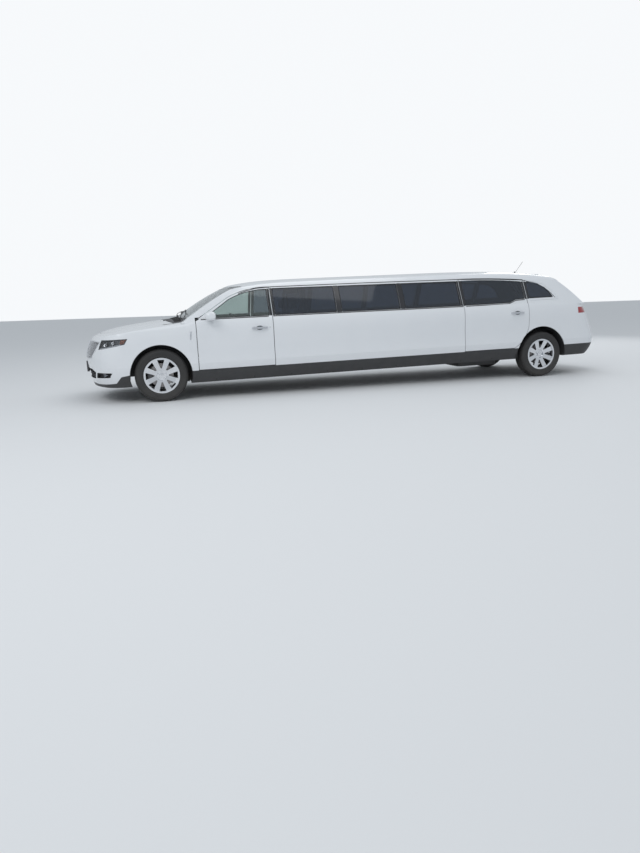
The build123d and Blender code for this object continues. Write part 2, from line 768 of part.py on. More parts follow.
# Hood and liftgate: the gate is a thin skin out to its shut line and a narrower box behind it
GATE_GAP = SHUT_GAP + 2.5
GATE_RABBET = 54.0
with BuildPart() as gate_rim:
    add(core.part)
    extrude(gate_outline(0), amount=1500, mode=Mode.INTERSECT)
    extrude(gate_outline(GATE_GAP + GATE_RABBET), amount=1500, mode=Mode.SUBTRACT)
with BuildPart() as hood:
    add(shell.part)
    extrude(hood_outline(SHUT_GAP), amount=500, mode=Mode.INTERSECT)
    for y in (-600, 600):
        add(block(HOOD_REAR_X - 60, HOOD_REAR_X + 43.5, y - 20, y + 20, 1048, 1066))
finish(hood, "hood")

with BuildPart() as gate_shape:
    add(shell.part)
    extrude(gate_outline(GATE_GAP), amount=1500, mode=Mode.INTERSECT)
    add(gate_rim.part, mode=Mode.SUBTRACT)
    for y in (-300, 300):
        add(block(GATE_FRONT_X + FIT, GATE_FRONT_X + 84, y - 30, y + 30, 1544, 1570))
    add(plate_holes(REAR_PLATE_Z, 0, LENGTH), mode=Mode.SUBTRACT)
with BuildPart() as liftgate:
    add(gate_shape.part)
    add(backlight_space, mode=Mode.SUBTRACT)
    add(tail_lamp_space, mode=Mode.SUBTRACT)
with BuildPart() as liftgate_lamp:
    add(gate_shape.part)
    add(tail_lamp_space, mode=Mode.INTERSECT)
for piece, name in ((liftgate, "liftgate"), (liftgate_lamp, "liftgate_lamp")):
    finish(piece, name)

# Glass
with BuildPart() as glass_layer:
    add(greenhouse(GLASS_SET, GLASS_SET))
    add(greenhouse(GLASS_SET + GLASS, GLASS_SET + GLASS), mode=Mode.SUBTRACT)
with BuildPart() as windscreen:
    add(glass_layer.part)
    extrude(windscreen_outline(FIT), amount=1650, mode=Mode.INTERSECT)
finish(windscreen, "windscreen")
with BuildPart() as liftgate_glass:
    add(glass_layer.part)
    extrude(backlight_outline(FIT), amount=1000, mode=Mode.INTERSECT)
finish(liftgate_glass, "liftgate_glass")
with BuildPart() as side_windows:
    add(glass_layer.part)
    with BuildPart(mode=Mode.PRIVATE) as panes:
        extrude(stretch_window_outline(FIT), amount=1200, both=True)
        extrude(quarter_window_outline(FIT), amount=1200, both=True)
    add(panes.part, mode=Mode.INTERSECT)
finish(side_windows, "side_windows")

# Doors


HINGE_LEVELS = (560.0, 900.0)
HINGE_Y = 888.0


def door_panel(outline, window, front_x):
    """Left door with its rabbet, its window opening and its hinge leaves."""
    with BuildPart() as rim:
        add(core.part)
        extrude(outline(0), amount=1200, mode=Mode.INTERSECT)
        extrude(outline(SHUT_GAP + RABBET), amount=1200, mode=Mode.SUBTRACT)
    with BuildPart() as panel:
        add(shell.part)
        extrude(outline(SHUT_GAP), amount=1200, mode=Mode.INTERSECT)
        add(rim.part, mode=Mode.SUBTRACT)
        add(floor_space, mode=Mode.SUBTRACT)
        extrude(window(0), amount=1200, mode=Mode.SUBTRACT)
        for z in HINGE_LEVELS:
            add(block(front_x + FIT, front_x + SHUT_GAP + RABBET + 20, -HINGE_Y - 18, -HINGE_Y + 18,
                      z - 30, z + 30))
    return panel.part


def door_glass(window):
    """Left glass set in the door."""
    with BuildPart() as pane:
        add(glass_layer.part)
        extrude(window(FIT), amount=1200, mode=Mode.INTERSECT)
    return pane.part


# Doors: place, outline, window and the station of the front shut line
DOORS = [
    ("front", front_door_outline, front_window_outline, DOOR_FRONT_X),
    ("rear", rear_door_outline, rear_window_outline, C_POST_X),
]
for place, outline, window, front_x in DOORS:
    left_panel = door_panel(outline, window, front_x)
    left_glass = door_glass(window)
    for side in ("left", "right"):
        with BuildPart() as door:
            add(left_panel if side == "left" else left_panel.mirror(MIRROR))
        finish(door, f"{place}_{side}_door")
        with BuildPart() as door_window:
            add(left_glass if side == "left" else left_glass.mirror(MIRROR))
        finish(door_window, f"{place}_{side}_window")

HANDLE_LENGTH = 243.0
HANDLE_WIDTH = 26.0
# Handles: place, front end and height
HANDLES = [
    ("front", B_POST_X - 327, 950),
    ("rear", D_POST_X - 338, 966),
]


def left_handle(x, z):
    """Pull handle standing off the door skin on two feet."""
    with BuildPart() as handle:
        with BuildSketch(Plane.XY.offset(z - HANDLE_WIDTH / 2)) as plan:
            with BuildLine():
                Polyline((x, -930), (x + 14, -972), (x + 60, -990), (x + HANDLE_LENGTH - 60, -990),
                         (x + HANDLE_LENGTH - 14, -972), (x + HANDLE_LENGTH, -930),
                         (x + HANDLE_LENGTH - 34, -930), (x + HANDLE_LENGTH - 48, -966),
                         (x + HANDLE_LENGTH - 70, -974), (x + 70, -974), (x + 48, -966),
                         (x + 34, -930), close=True)
            make_face()
        extrude(amount=HANDLE_WIDTH)
        fillet(handle.edges().filter_by(Axis.Z).sort_by(Axis.Y)[:4], 12)
        add(outer.part, mode=Mode.SUBTRACT)
    return handle.part


for place, x, z in HANDLES:
    for side in ("left", "right"):
        with BuildPart() as handle:
            add(left_handle(x, z) if side == "left" else left_handle(x, z).mirror(MIRROR))
        finish(handle, f"{place}_{side}_handle")

# Aerial
AERIAL_X = TAIL_X - 1200.0
with BuildPart() as aerial:
    with BuildSketch(Plane.XY.offset(1560)):
        with Locations((AERIAL_X, 0)):
            Circle(20)
    extrude(amount=72, taper=8)
    with BuildSketch(Plane(origin=(AERIAL_X, 0, 1600), z_dir=(0.62, 0, 0.78))):
        Circle(2.6)
    extrude(amount=250)
    add(outer.part, mode=Mode.SUBTRACT)
finish(aerial, "aerial")

# Cabin
SEAT_Y = 390.0
DRIVER_SEAT_X = FRONT_AXLE_X + 1330.0
CUSHION_Z = FLOOR_Z + 250.0


def extruded_profile(points, y0, y1, radius=0):
    """Solid of a side profile between two stations across the car."""
    with BuildPart() as solid:
        with BuildSketch(SIDE_PLANE.offset(-y1)) as profile:
            with BuildLine():
                Polyline(*points, close=True)
            make_face()
            if radius:
                fillet(profile.vertices(), radius)
        extrude(amount=y1 - y0)
    return solid.part


with BuildPart() as dashboard:
    add(extruded_profile([(FIREWALL_X + FIT, 620), (FIREWALL_X + FIT, 1060),
                          (FIREWALL_X + 260, 1084), (FIREWALL_X + 520, 1050),
                          (FIREWALL_X + 575, 960), (FIREWALL_X + 540, 860),
                          (FIREWALL_X + 420, 700), (FIREWALL_X + 300, 620)], -800, 800))
    add(extruded_profile([(FIREWALL_X + 420, FLOOR_Z), (FIREWALL_X + 420, 800),
                          (FIREWALL_X + 620, 760), (FIREWALL_X + 760, 640),
                          (FIREWALL_X + 1330, 620), (FIREWALL_X + 1330, FLOOR_Z)], -120, 120))
finish(dashboard, "dashboard")

WHEEL_HUB_X = FIREWALL_X + 690.0
WHEEL_HUB_Z = 980.0
STEERING_WHEEL_R = 190.0
COLUMN = Plane(origin=(WHEEL_HUB_X, -SEAT_Y, WHEEL_HUB_Z), x_dir=(0, 1, 0), z_dir=(0.9, 0, 0.42))
with BuildPart() as steering_wheel:
    with BuildSketch(Plane(origin=COLUMN.from_local_coords((STEERING_WHEEL_R, 0, 0)),
                           x_dir=COLUMN.x_dir, z_dir=COLUMN.y_dir)):
        Circle(15)
    revolve(axis=Axis(COLUMN.origin, COLUMN.z_dir))
    with BuildSketch(COLUMN.offset(-30)):
        Circle(52)
        Rectangle(2 * STEERING_WHEEL_R - 16, 34)
        with Locations((0, -STEERING_WHEEL_R / 2)):
            Rectangle(34, STEERING_WHEEL_R - 10)
    extrude(amount=24)
    with BuildSketch(COLUMN.offset(-30)):
        Circle(30)
    extrude(amount=-130)
    add(dashboard.part.moved(STANCE.inverse()), mode=Mode.SUBTRACT)
finish(steering_wheel, "steering_wheel")

with BuildPart() as front_seats:
    for side in (-1, 1):
        seat = side * SEAT_Y
        add(extruded_profile([(DRIVER_SEAT_X + 40, FLOOR_Z + FIT), (DRIVER_SEAT_X + 40, CUSHION_Z - 70),
                              (DRIVER_SEAT_X - 20, CUSHION_Z + 60), (DRIVER_SEAT_X + 60, CUSHION_Z + 110),
                              (DRIVER_SEAT_X + 470, CUSHION_Z + 80), (DRIVER_SEAT_X + 640, 1180),
                              (DRIVER_SEAT_X + 760, 1160), (DRIVER_SEAT_X + 640, CUSHION_Z - 20),
                              (DRIVER_SEAT_X + 520, CUSHION_Z - 90),
                              (DRIVER_SEAT_X + 520, FLOOR_Z + FIT)], seat - 255, seat + 255, 24))
        add(extruded_profile([(DRIVER_SEAT_X + 665, 1168), (DRIVER_SEAT_X + 675, 1360),
                              (DRIVER_SEAT_X + 745, 1380), (DRIVER_SEAT_X + 790, 1350),
                              (DRIVER_SEAT_X + 740, 1150)], seat - 130, seat + 130, 16))
finish(front_seats, "front_seats")

PARTITION_X = B_POST_X + 520.0
with BuildPart() as partition:
    with BuildSketch(section_plane(PARTITION_X)) as bulkhead:
        with BuildLine():
            Polyline((-810, FLOOR_Z + FIT), (810, FLOOR_Z + FIT), (838, 520), (815, 1050), (805, 1130),
                     (650, 1460), (520, 1530), (-520, 1530), (-650, 1460), (-805, 1130), (-815, 1050),
                     (-838, 520), close=True)
        make_face()
        with Locations((0, 1240)):
            RectangleRounded(900, 330, 40, mode=Mode.SUBTRACT)
    extrude(amount=40)
finish(partition, "partition")

BENCH_START_X = PARTITION_X + 120.0
REAR_BENCH_X = REAR_HUB_X - 1130.0
BENCH_WALL_Y = 800.0
with BuildPart() as lounge_seats:
    with BuildSketch(Plane.XY.offset(FLOOR_Z + FIT)) as plan:
        with BuildLine():
            Polyline((BENCH_START_X, BENCH_WALL_Y), (BENCH_START_X, 330), (REAR_BENCH_X, 330),
                     (REAR_BENCH_X, -BENCH_WALL_Y), (REAR_BENCH_X + 520, -BENCH_WALL_Y),
                     (REAR_BENCH_X + 520, BENCH_WALL_Y), close=True)
        make_face()
        fillet(plan.vertices(), 40)
    extrude(amount=400)
    with BuildSketch(Plane.XY.offset(FLOOR_Z + 400)) as backs:
        with BuildLine():
            Polyline((BENCH_START_X, BENCH_WALL_Y), (BENCH_START_X, 700), (REAR_BENCH_X + 380, 700),
                     (REAR_BENCH_X + 380, -BENCH_WALL_Y), (REAR_BENCH_X + 520, -BENCH_WALL_Y),
                     (REAR_BENCH_X + 520, BENCH_WALL_Y), close=True)
        make_face()
        fillet(backs.vertices(), 30)
    extrude(amount=310)
finish(lounge_seats, "lounge_seats")

# Running gear
RAIL_TOP_Z = 320.0
ENGINE_X = FRONT_AXLE_X - 90.0
with BuildPart() as engine:
    add(block(ENGINE_X - 300, ENGINE_X + 300, -330, 330, 420, 860))
    for side in (-1, 1):
        add(block(ENGINE_X - 60, ENGINE_X + 60, side * 370 - 80, side * 370 + 80, RAIL_TOP_Z + FIT, 470))
finish(engine, "engine")

with BuildPart() as wheel_liners:
    for x, z, radius, slot in ((FRONT_AXLE_X, TYRE_R, FRONT_ARCH_R, 330),
                               (REAR_HUB_X, REAR_HUB_Z, REAR_ARCH_R, 170)):
        with BuildSketch(SIDE_PLANE.offset(-930)) as band:
            with Locations((x, z)):
                Circle(radius - FIT)
                Circle(radius - FIT - LINER, mode=Mode.SUBTRACT)
                with Locations((0, -radius)):
                    Rectangle(2 * radius, 2 * radius - 60, mode=Mode.SUBTRACT)
        extrude(amount=930 - WELL_Y - FIT)
        with BuildSketch(SIDE_PLANE.offset(-WELL_Y - FIT - LINER)) as wall:
            with Locations((x, z)):
                Circle(radius - FIT)
                with Locations((0, -radius)):
                    Rectangle(2 * radius, 2 * radius - 60, mode=Mode.SUBTRACT)
                Rectangle(slot, 340, mode=Mode.SUBTRACT)
        extrude(amount=LINER)
    mirror(about=MIRROR)
finish(wheel_liners, "wheel_liners")

HUB_FACE_Y = TRACK / 2 + 18.0
KINGPIN_Y = TRACK / 2 - 45.0
KNUCKLE_R = 62.0
ARM_Z = TYRE_R - 125.8
ARM_THICKNESS = 34.0
with BuildPart() as front_subframe:
    for x in (FRONT_AXLE_X - 330, FRONT_AXLE_X + 210):
        add(block(x, x + 120, -460, 460, ARM_Z, RAIL_TOP_Z))
    for side in (-1, 1):
        add(block(FRONT_AXLE_X - 330, FIREWALL_X - FIREWALL - FIT, side * 430 - 45, side * 430 + 45,
                  ARM_Z - ARM_THICKNESS, RAIL_TOP_Z))
        with BuildSketch(Plane.XY.offset(ARM_Z - ARM_THICKNESS)):
            with BuildLine():
                Polyline((FRONT_AXLE_X - 80, side * 440), (FRONT_AXLE_X + 80, side * 440),
                         (FRONT_AXLE_X + 30, side * KINGPIN_Y), (FRONT_AXLE_X - 30, side * KINGPIN_Y),
                         close=True)
            make_face()
            with Locations((FRONT_AXLE_X, side * KINGPIN_Y)):
                Circle(34)
        extrude(amount=ARM_THICKNESS)
finish(front_subframe, "front_subframe")

SPINDLE_R = 30.0


def left_knuckle():
    """Upright that turns on the kingpin line and carries the front wheel."""
    with BuildPart() as upright:
        with BuildSketch(SIDE_PLANE.offset(KINGPIN_Y - 40)):
            with Locations((FRONT_AXLE_X, TYRE_R)):
                Circle(KNUCKLE_R)
                Rectangle(70, 250)
        extrude(amount=80)
        with BuildSketch(SIDE_PLANE.offset(KINGPIN_Y)):
            with Locations((FRONT_AXLE_X, TYRE_R)):
                Circle(SPINDLE_R)
        extrude(amount=HUB_FACE_Y - KINGPIN_Y - FIT)
    return upright.part


LEVEL = Location((0, 0, 0))
for side in ("left", "right"):
    with BuildPart() as knuckle:
        add(left_knuckle() if side == "left" else left_knuckle().mirror(MIRROR))
    finish(knuckle, f"front_{side}_knuckle", LEVEL)

with BuildPart() as rear_axle:
    with BuildSketch(SIDE_PLANE.offset(-KINGPIN_Y)):
        with Locations((REAR_HUB_X, REAR_HUB_Z)):
            Circle(45)
    extrude(amount=2 * KINGPIN_Y)
    with BuildSketch(SIDE_PLANE.offset(-HUB_FACE_Y + FIT)):
        with Locations((REAR_HUB_X, REAR_HUB_Z)):
            Circle(SPINDLE_R)
    extrude(amount=2 * (HUB_FACE_Y - FIT))
    for side in (-1, 1):
        with BuildSketch(SIDE_PLANE.offset(-side * 430 - 30)):
            with BuildLine():
                Polyline((REAR_HUB_X + 60, REAR_HUB_Z + 30), (REAR_HUB_X + 60, REAR_HUB_Z - 30),
                         (KICK_UP_X + 50 + FIT, REAR_HUB_Z - 30), (KICK_UP_X + 50 + FIT, REAR_HUB_Z + 20),
                         close=True)
            make_face()
        extrude(amount=60)
finish(rear_axle, "rear_axle")

with BuildPart() as fuel_tank:
    add(block(C_POST_X + 60, C_POST_X + 760, -620, 100, SILL_Z - 90, SILL_Z - FIT))
    fillet(fuel_tank.edges().filter_by(Axis.Z), 60)
finish(fuel_tank, "fuel_tank")

PIPE_R = 30.0
with BuildPart() as exhaust:
    with BuildSketch(section_plane(DOOR_FRONT_X)):
        with Locations((260, SILL_Z - PIPE_R - FIT)):
            Circle(PIPE_R)
    extrude(amount=KICK_UP_X - DOOR_FRONT_X)
    with BuildSketch(section_plane(B_POST_X + 300)) as silencer:
        with Locations((260, SILL_Z - 60 - FIT)):
            SlotOverall(240, 120)
    extrude(amount=620)
finish(exhaust, "exhaust")

# Wheels and tyres, drawn at the left front hub
DISC_R = BARREL_R - 3.0
DISH_INNER_X = 56.0
DISH_OUTER_X = 86.0
RECESS_R = 72.0
CAP_R = 33.0
LUG_PITCH_R = 54.0
LUG_SEATS = 5
HUB_X = HUB_FACE_Y - TRACK / 2
with BuildPart() as rim:
    with BuildSketch(Plane.XY) as section:
        with BuildLine():
            Polyline((-RIM_WIDTH / 2, RIM_R), (-RIM_WIDTH / 2, BARREL_R - 4),
                     (RIM_WIDTH / 2, BARREL_R - 8), (RIM_WIDTH / 2, RIM_R), (RIM_WIDTH / 2 - 12, RIM_R),
                     (RIM_WIDTH / 2 - 12, BARREL_R), (-RIM_WIDTH / 2 + 12, BARREL_R + 4),
                     (-RIM_WIDTH / 2 + 12, RIM_R), close=True)
        make_face()
        with BuildLine():
            Polyline((HUB_X, 0), (HUB_X, RECESS_R + 16), (DISH_OUTER_X - 30, DISC_R),
                     (DISH_OUTER_X, DISC_R), (DISH_OUTER_X - 2, DISC_R - 26),
                     (DISH_INNER_X, RECESS_R + 14), (DISH_INNER_X - 4, RECESS_R),
                     (DISH_INNER_X - 24, RECESS_R - 4), (DISH_INNER_X - 24, CAP_R),
                     (DISH_INNER_X - 4, CAP_R - 4), (DISH_INNER_X, 0), close=True)
        make_face()
    revolve(axis=Axis.X)
    with BuildSketch(Plane.YZ.offset(HUB_X - 5)) as windows:
        with PolarLocations(0, SPOKES):
            Polygon((RECESS_R + 24, -8), (DISC_R - 5, -50), (DISC_R - 5, 50), (RECESS_R + 24, 8),
                    align=None)
        fillet(windows.vertices(), 7)
    extrude(amount=110, mode=Mode.SUBTRACT)
    with BuildSketch(Plane.YZ.offset(HUB_X + 6)):
        with PolarLocations(LUG_PITCH_R, LUG_SEATS):
            Circle(12.5)
    extrude(amount=20, mode=Mode.SUBTRACT)


with BuildPart() as tyre_ring:
    with BuildSketch(Plane.XY) as section:
        with BuildLine():
            Polyline((-RIM_WIDTH / 2 + 12 + FIT, RIM_R - 14), (RIM_WIDTH / 2 - 12 - FIT, RIM_R - 14),
                     (RIM_WIDTH / 2 - 12 - FIT, RIM_R + 8), (RIM_WIDTH / 2 + 6, RIM_R + 16),
                     (TYRE_WIDTH / 2, RIM_R + 58), (TYRE_WIDTH / 2 - 8, TYRE_R - 26),
                     (TYRE_WIDTH / 2 - 30, TYRE_R - 4), (TYRE_WIDTH / 2 - 70, TYRE_R),
                     (-TYRE_WIDTH / 2 + 70, TYRE_R), (-TYRE_WIDTH / 2 + 30, TYRE_R - 4),
                     (-TYRE_WIDTH / 2 + 8, TYRE_R - 26), (-TYRE_WIDTH / 2, RIM_R + 58),
                     (-RIM_WIDTH / 2 - 6, RIM_R + 16), (-RIM_WIDTH / 2 + 12 + FIT, RIM_R + 8), close=True)
        make_face()
    revolve(axis=Axis.X)

for end, hub_x in (("front", FRONT_AXLE_X), ("rear", REAR_AXLE_X)):
    for side, turn in (("left", -90), ("right", 90)):
        hub = Location((hub_x, TRACK / 2 * (1 if side == "right" else -1), TYRE_R), (0, 0, turn))
        with BuildPart() as wheel:
            add(rim.part)
        finish(wheel, f"{end}_{side}_wheel", hub)
        with BuildPart() as tyre:
            add(tyre_ring.part)
        finish(tyre, f"{end}_{side}_tyre", hub)

# Mirrors
for side in (-1, 1):
    with BuildPart() as door_mirror:
        with BuildSketch(SIDE_PLANE.offset(-side * 930)):
            with Locations((DOOR_FRONT_X + 195, 1150)):
                RectangleRounded(150, 120, 40)
        extrude(amount=-side * 190)
        with BuildSketch(SIDE_PLANE.offset(-side * 905)):
            with Locations((DOOR_FRONT_X + 180, 1110)):
                RectangleRounded(80, 50, 20)
        extrude(amount=-side * 60)
        add(outer.part, mode=Mode.SUBTRACT)
    finish(door_mirror, f"front_{'left' if side < 0 else 'right'}_mirror")
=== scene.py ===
"""Looks of the stretch limousine: finishes, glass band, lamps, tyres, trim and padded seats.

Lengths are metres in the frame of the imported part: +X to the rear, +Y to the car's right and +Z up.
Places on the body are given in its level frame, as the CAD source draws it, and Stance turns them
by the rake of the parked car.
"""
import logging
import math
from collections.abc import Callable, Sequence
from dataclasses import dataclass, field
from enum import Enum

import bmesh
import bpy
import numpy as np
from mathutils import Matrix, Vector
from mathutils.bvhtree import BVHTree
from mathutils.geometry import delaunay_2d_cdt


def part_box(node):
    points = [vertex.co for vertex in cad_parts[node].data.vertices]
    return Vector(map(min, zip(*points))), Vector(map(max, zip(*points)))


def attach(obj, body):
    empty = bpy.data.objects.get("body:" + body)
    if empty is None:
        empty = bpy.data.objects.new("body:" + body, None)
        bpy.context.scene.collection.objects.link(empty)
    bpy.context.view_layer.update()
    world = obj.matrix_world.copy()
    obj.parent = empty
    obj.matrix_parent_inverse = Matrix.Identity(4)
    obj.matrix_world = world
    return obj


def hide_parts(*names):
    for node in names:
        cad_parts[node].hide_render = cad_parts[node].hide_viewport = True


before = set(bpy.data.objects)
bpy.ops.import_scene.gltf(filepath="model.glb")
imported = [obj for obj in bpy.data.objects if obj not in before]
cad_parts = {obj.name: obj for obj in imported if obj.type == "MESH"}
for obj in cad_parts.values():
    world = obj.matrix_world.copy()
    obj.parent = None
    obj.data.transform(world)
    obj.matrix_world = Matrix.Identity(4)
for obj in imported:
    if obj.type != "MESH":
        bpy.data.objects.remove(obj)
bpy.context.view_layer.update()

LOG = logging.getLogger("limousine")

Colour = tuple[float, float, float]
Point2 = tuple[float, float]
Point3 = tuple[float, float, float]

# Stations of the level body, as in the CAD source
FRONT_AXLE_X = -3.152
REAR_AXLE_X = 2.891
TYRE_R = 0.365
TRACK = 1.650
DOOR_FRONT_X = -2.640
B_POST_X = -1.538
C_POST_X = 1.495
D_POST_X = 2.645
STRETCH = 3.033
PANES = 3
REVEAL_LOW = 1.105
REVEAL_HIGH = 1.50
SIDES = {"left": -1, "right": 1}


@dataclass(frozen=True)
class Stance:
    """The turn of the level body about the front axle, as the car stands."""

    rake: float = math.radians(0.8)

    def point(self, x: float, y: float, z: float) -> Vector:
        """Place of a level body point in the frame of the ground.

        Args:
            x: level place along X.
            y: place along Y.
            z: level height.

        Returns:
            The place on the standing car.
        """
        dx, dz = x - FRONT_AXLE_X, z - TYRE_R
        c, s = math.cos(self.rake), math.sin(self.rake)
        return Vector((FRONT_AXLE_X + dx * c - dz * s, y, TYRE_R + dx * s + dz * c))

    def direction(self, x: float, y: float, z: float) -> Vector:
        """A level body direction in the frame of the ground."""
        c, s = math.cos(self.rake), math.sin(self.rake)
        return Vector((x * c - z * s, y, x * s + z * c))

    def level(self, points: np.ndarray) -> np.ndarray:
        """Ground frame points, one a row, in the level body frame.

        Args:
            points: the points.

        Returns:
            The same points on the level body.
        """
        c, s = math.cos(self.rake), math.sin(self.rake)
        dx, dz = points[:, 0] - FRONT_AXLE_X, points[:, 2] - TYRE_R
        x = FRONT_AXLE_X + dx * c + dz * s
        return np.column_stack((x, points[:, 1], TYRE_R - dx * s + dz * c))


STANCE = Stance()


class Relief(Enum):
    """Kinds of fine surface relief that a finish can have."""

    PEEL = "orange peel"
    MOULDED = "moulded grain"
    LEATHER = "leather grain"
    BRUSHED = "brushed lines"
    CAST = "cast skin"
    PILE = "carpet pile"
    RIBBED = "moulded ribs"


Settings = dict[str, object]


def grow(tree: bpy.types.NodeTree, nodes: dict[str, tuple[str, Settings]],
         links: Sequence[str]) -> dict[str, bpy.types.Node]:
    """Adds nodes to a tree and joins them.

    Args:
        tree: the tree.
        nodes: type and settings of each named node, a setting being an attribute or an input.
        links: joins that read "node.output > node.input", a number standing for a socket's index.

    Returns:
        The node of each name.
    """
    grown = {}
    for name, (kind, settings) in nodes.items():
        grown[name] = node = tree.nodes.new(kind)
        for key, value in settings.items():
            if hasattr(node, key):
                setattr(node, key, value)
            else:
                node.inputs[int(key) if key.isdigit() else key].default_value = value
    for link in links:
        (source, given), (target, taken) = (end.split(".") for end in link.split(" > "))
        outputs, inputs = grown[source].outputs, grown[target].inputs
        tree.links.new(outputs[given], inputs[int(taken) if taken.isdigit() else taken])
    return grown


@dataclass(frozen=True)
class Finish:
    """One material: its colours, gloss, relief and dust."""

    name: str
    colour: Colour
    shade: Colour
    roughness: float
    spread: float = 0.05
    metallic: float = 0.0
    coat: float = 0.0
    transmission: float = 0.0
    ior: float = 1.5
    relief: Relief = Relief.PEEL
    pitch: float = 220.0
    depth: float = 0.0002
    strength: float = 0.2
    dust: float = 0.0
    glow: float = 0.0
    patch: float = 3.0

    def build(self, groups: "SharedGroups") -> bpy.types.Material:
        """Makes the node tree of this finish.

        Args:
            groups: the shared node groups.

        Returns:
            The new material.
        """
        material = bpy.data.materials.new(self.name)
        material.use_nodes = True
        tree = material.node_tree
        shader = tree.nodes["Principled BSDF"]
        for label, value in (("Metallic", self.metallic), ("Coat Weight", self.coat), ("IOR", self.ior),
                             ("Coat Roughness", 0.04), ("Transmission Weight", self.transmission)):
            shader.inputs[label].default_value = value
        place = tree.nodes.new("ShaderNodeTexCoord").outputs["Object"]
        tone = groups.use(tree, "tone", place, {"Colour": (*self.colour, 1), "Shade": (*self.shade, 1),
                                                "Scale": self.patch, "Base": self.roughness,
                                                "Spread": self.spread})
        colour, gloss = tone.outputs["Colour"], tone.outputs["Roughness"]
        if self.dust > 0:
            dust = groups.use(tree, "road dust", place, {"Amount": self.dust})
            tree.links.new(colour, dust.inputs["Colour"])
            tree.links.new(gloss, dust.inputs["Roughness"])
            colour, gloss = dust.outputs["Colour"], dust.outputs["Roughness"]
        tree.links.new(colour, shader.inputs["Base Color"])
        tree.links.new(gloss, shader.inputs["Roughness"])
        if self.glow > 0:
            tree.links.new(colour, shader.inputs["Emission Color"])
            shader.inputs["Emission Strength"].default_value = self.glow
        relief = groups.use(tree, self.relief.value, place, {"Scale": self.pitch, "Depth": self.depth,
                                                             "Strength": self.strength})
        tree.links.new(relief.outputs["Normal"], shader.inputs["Normal"])
        return material


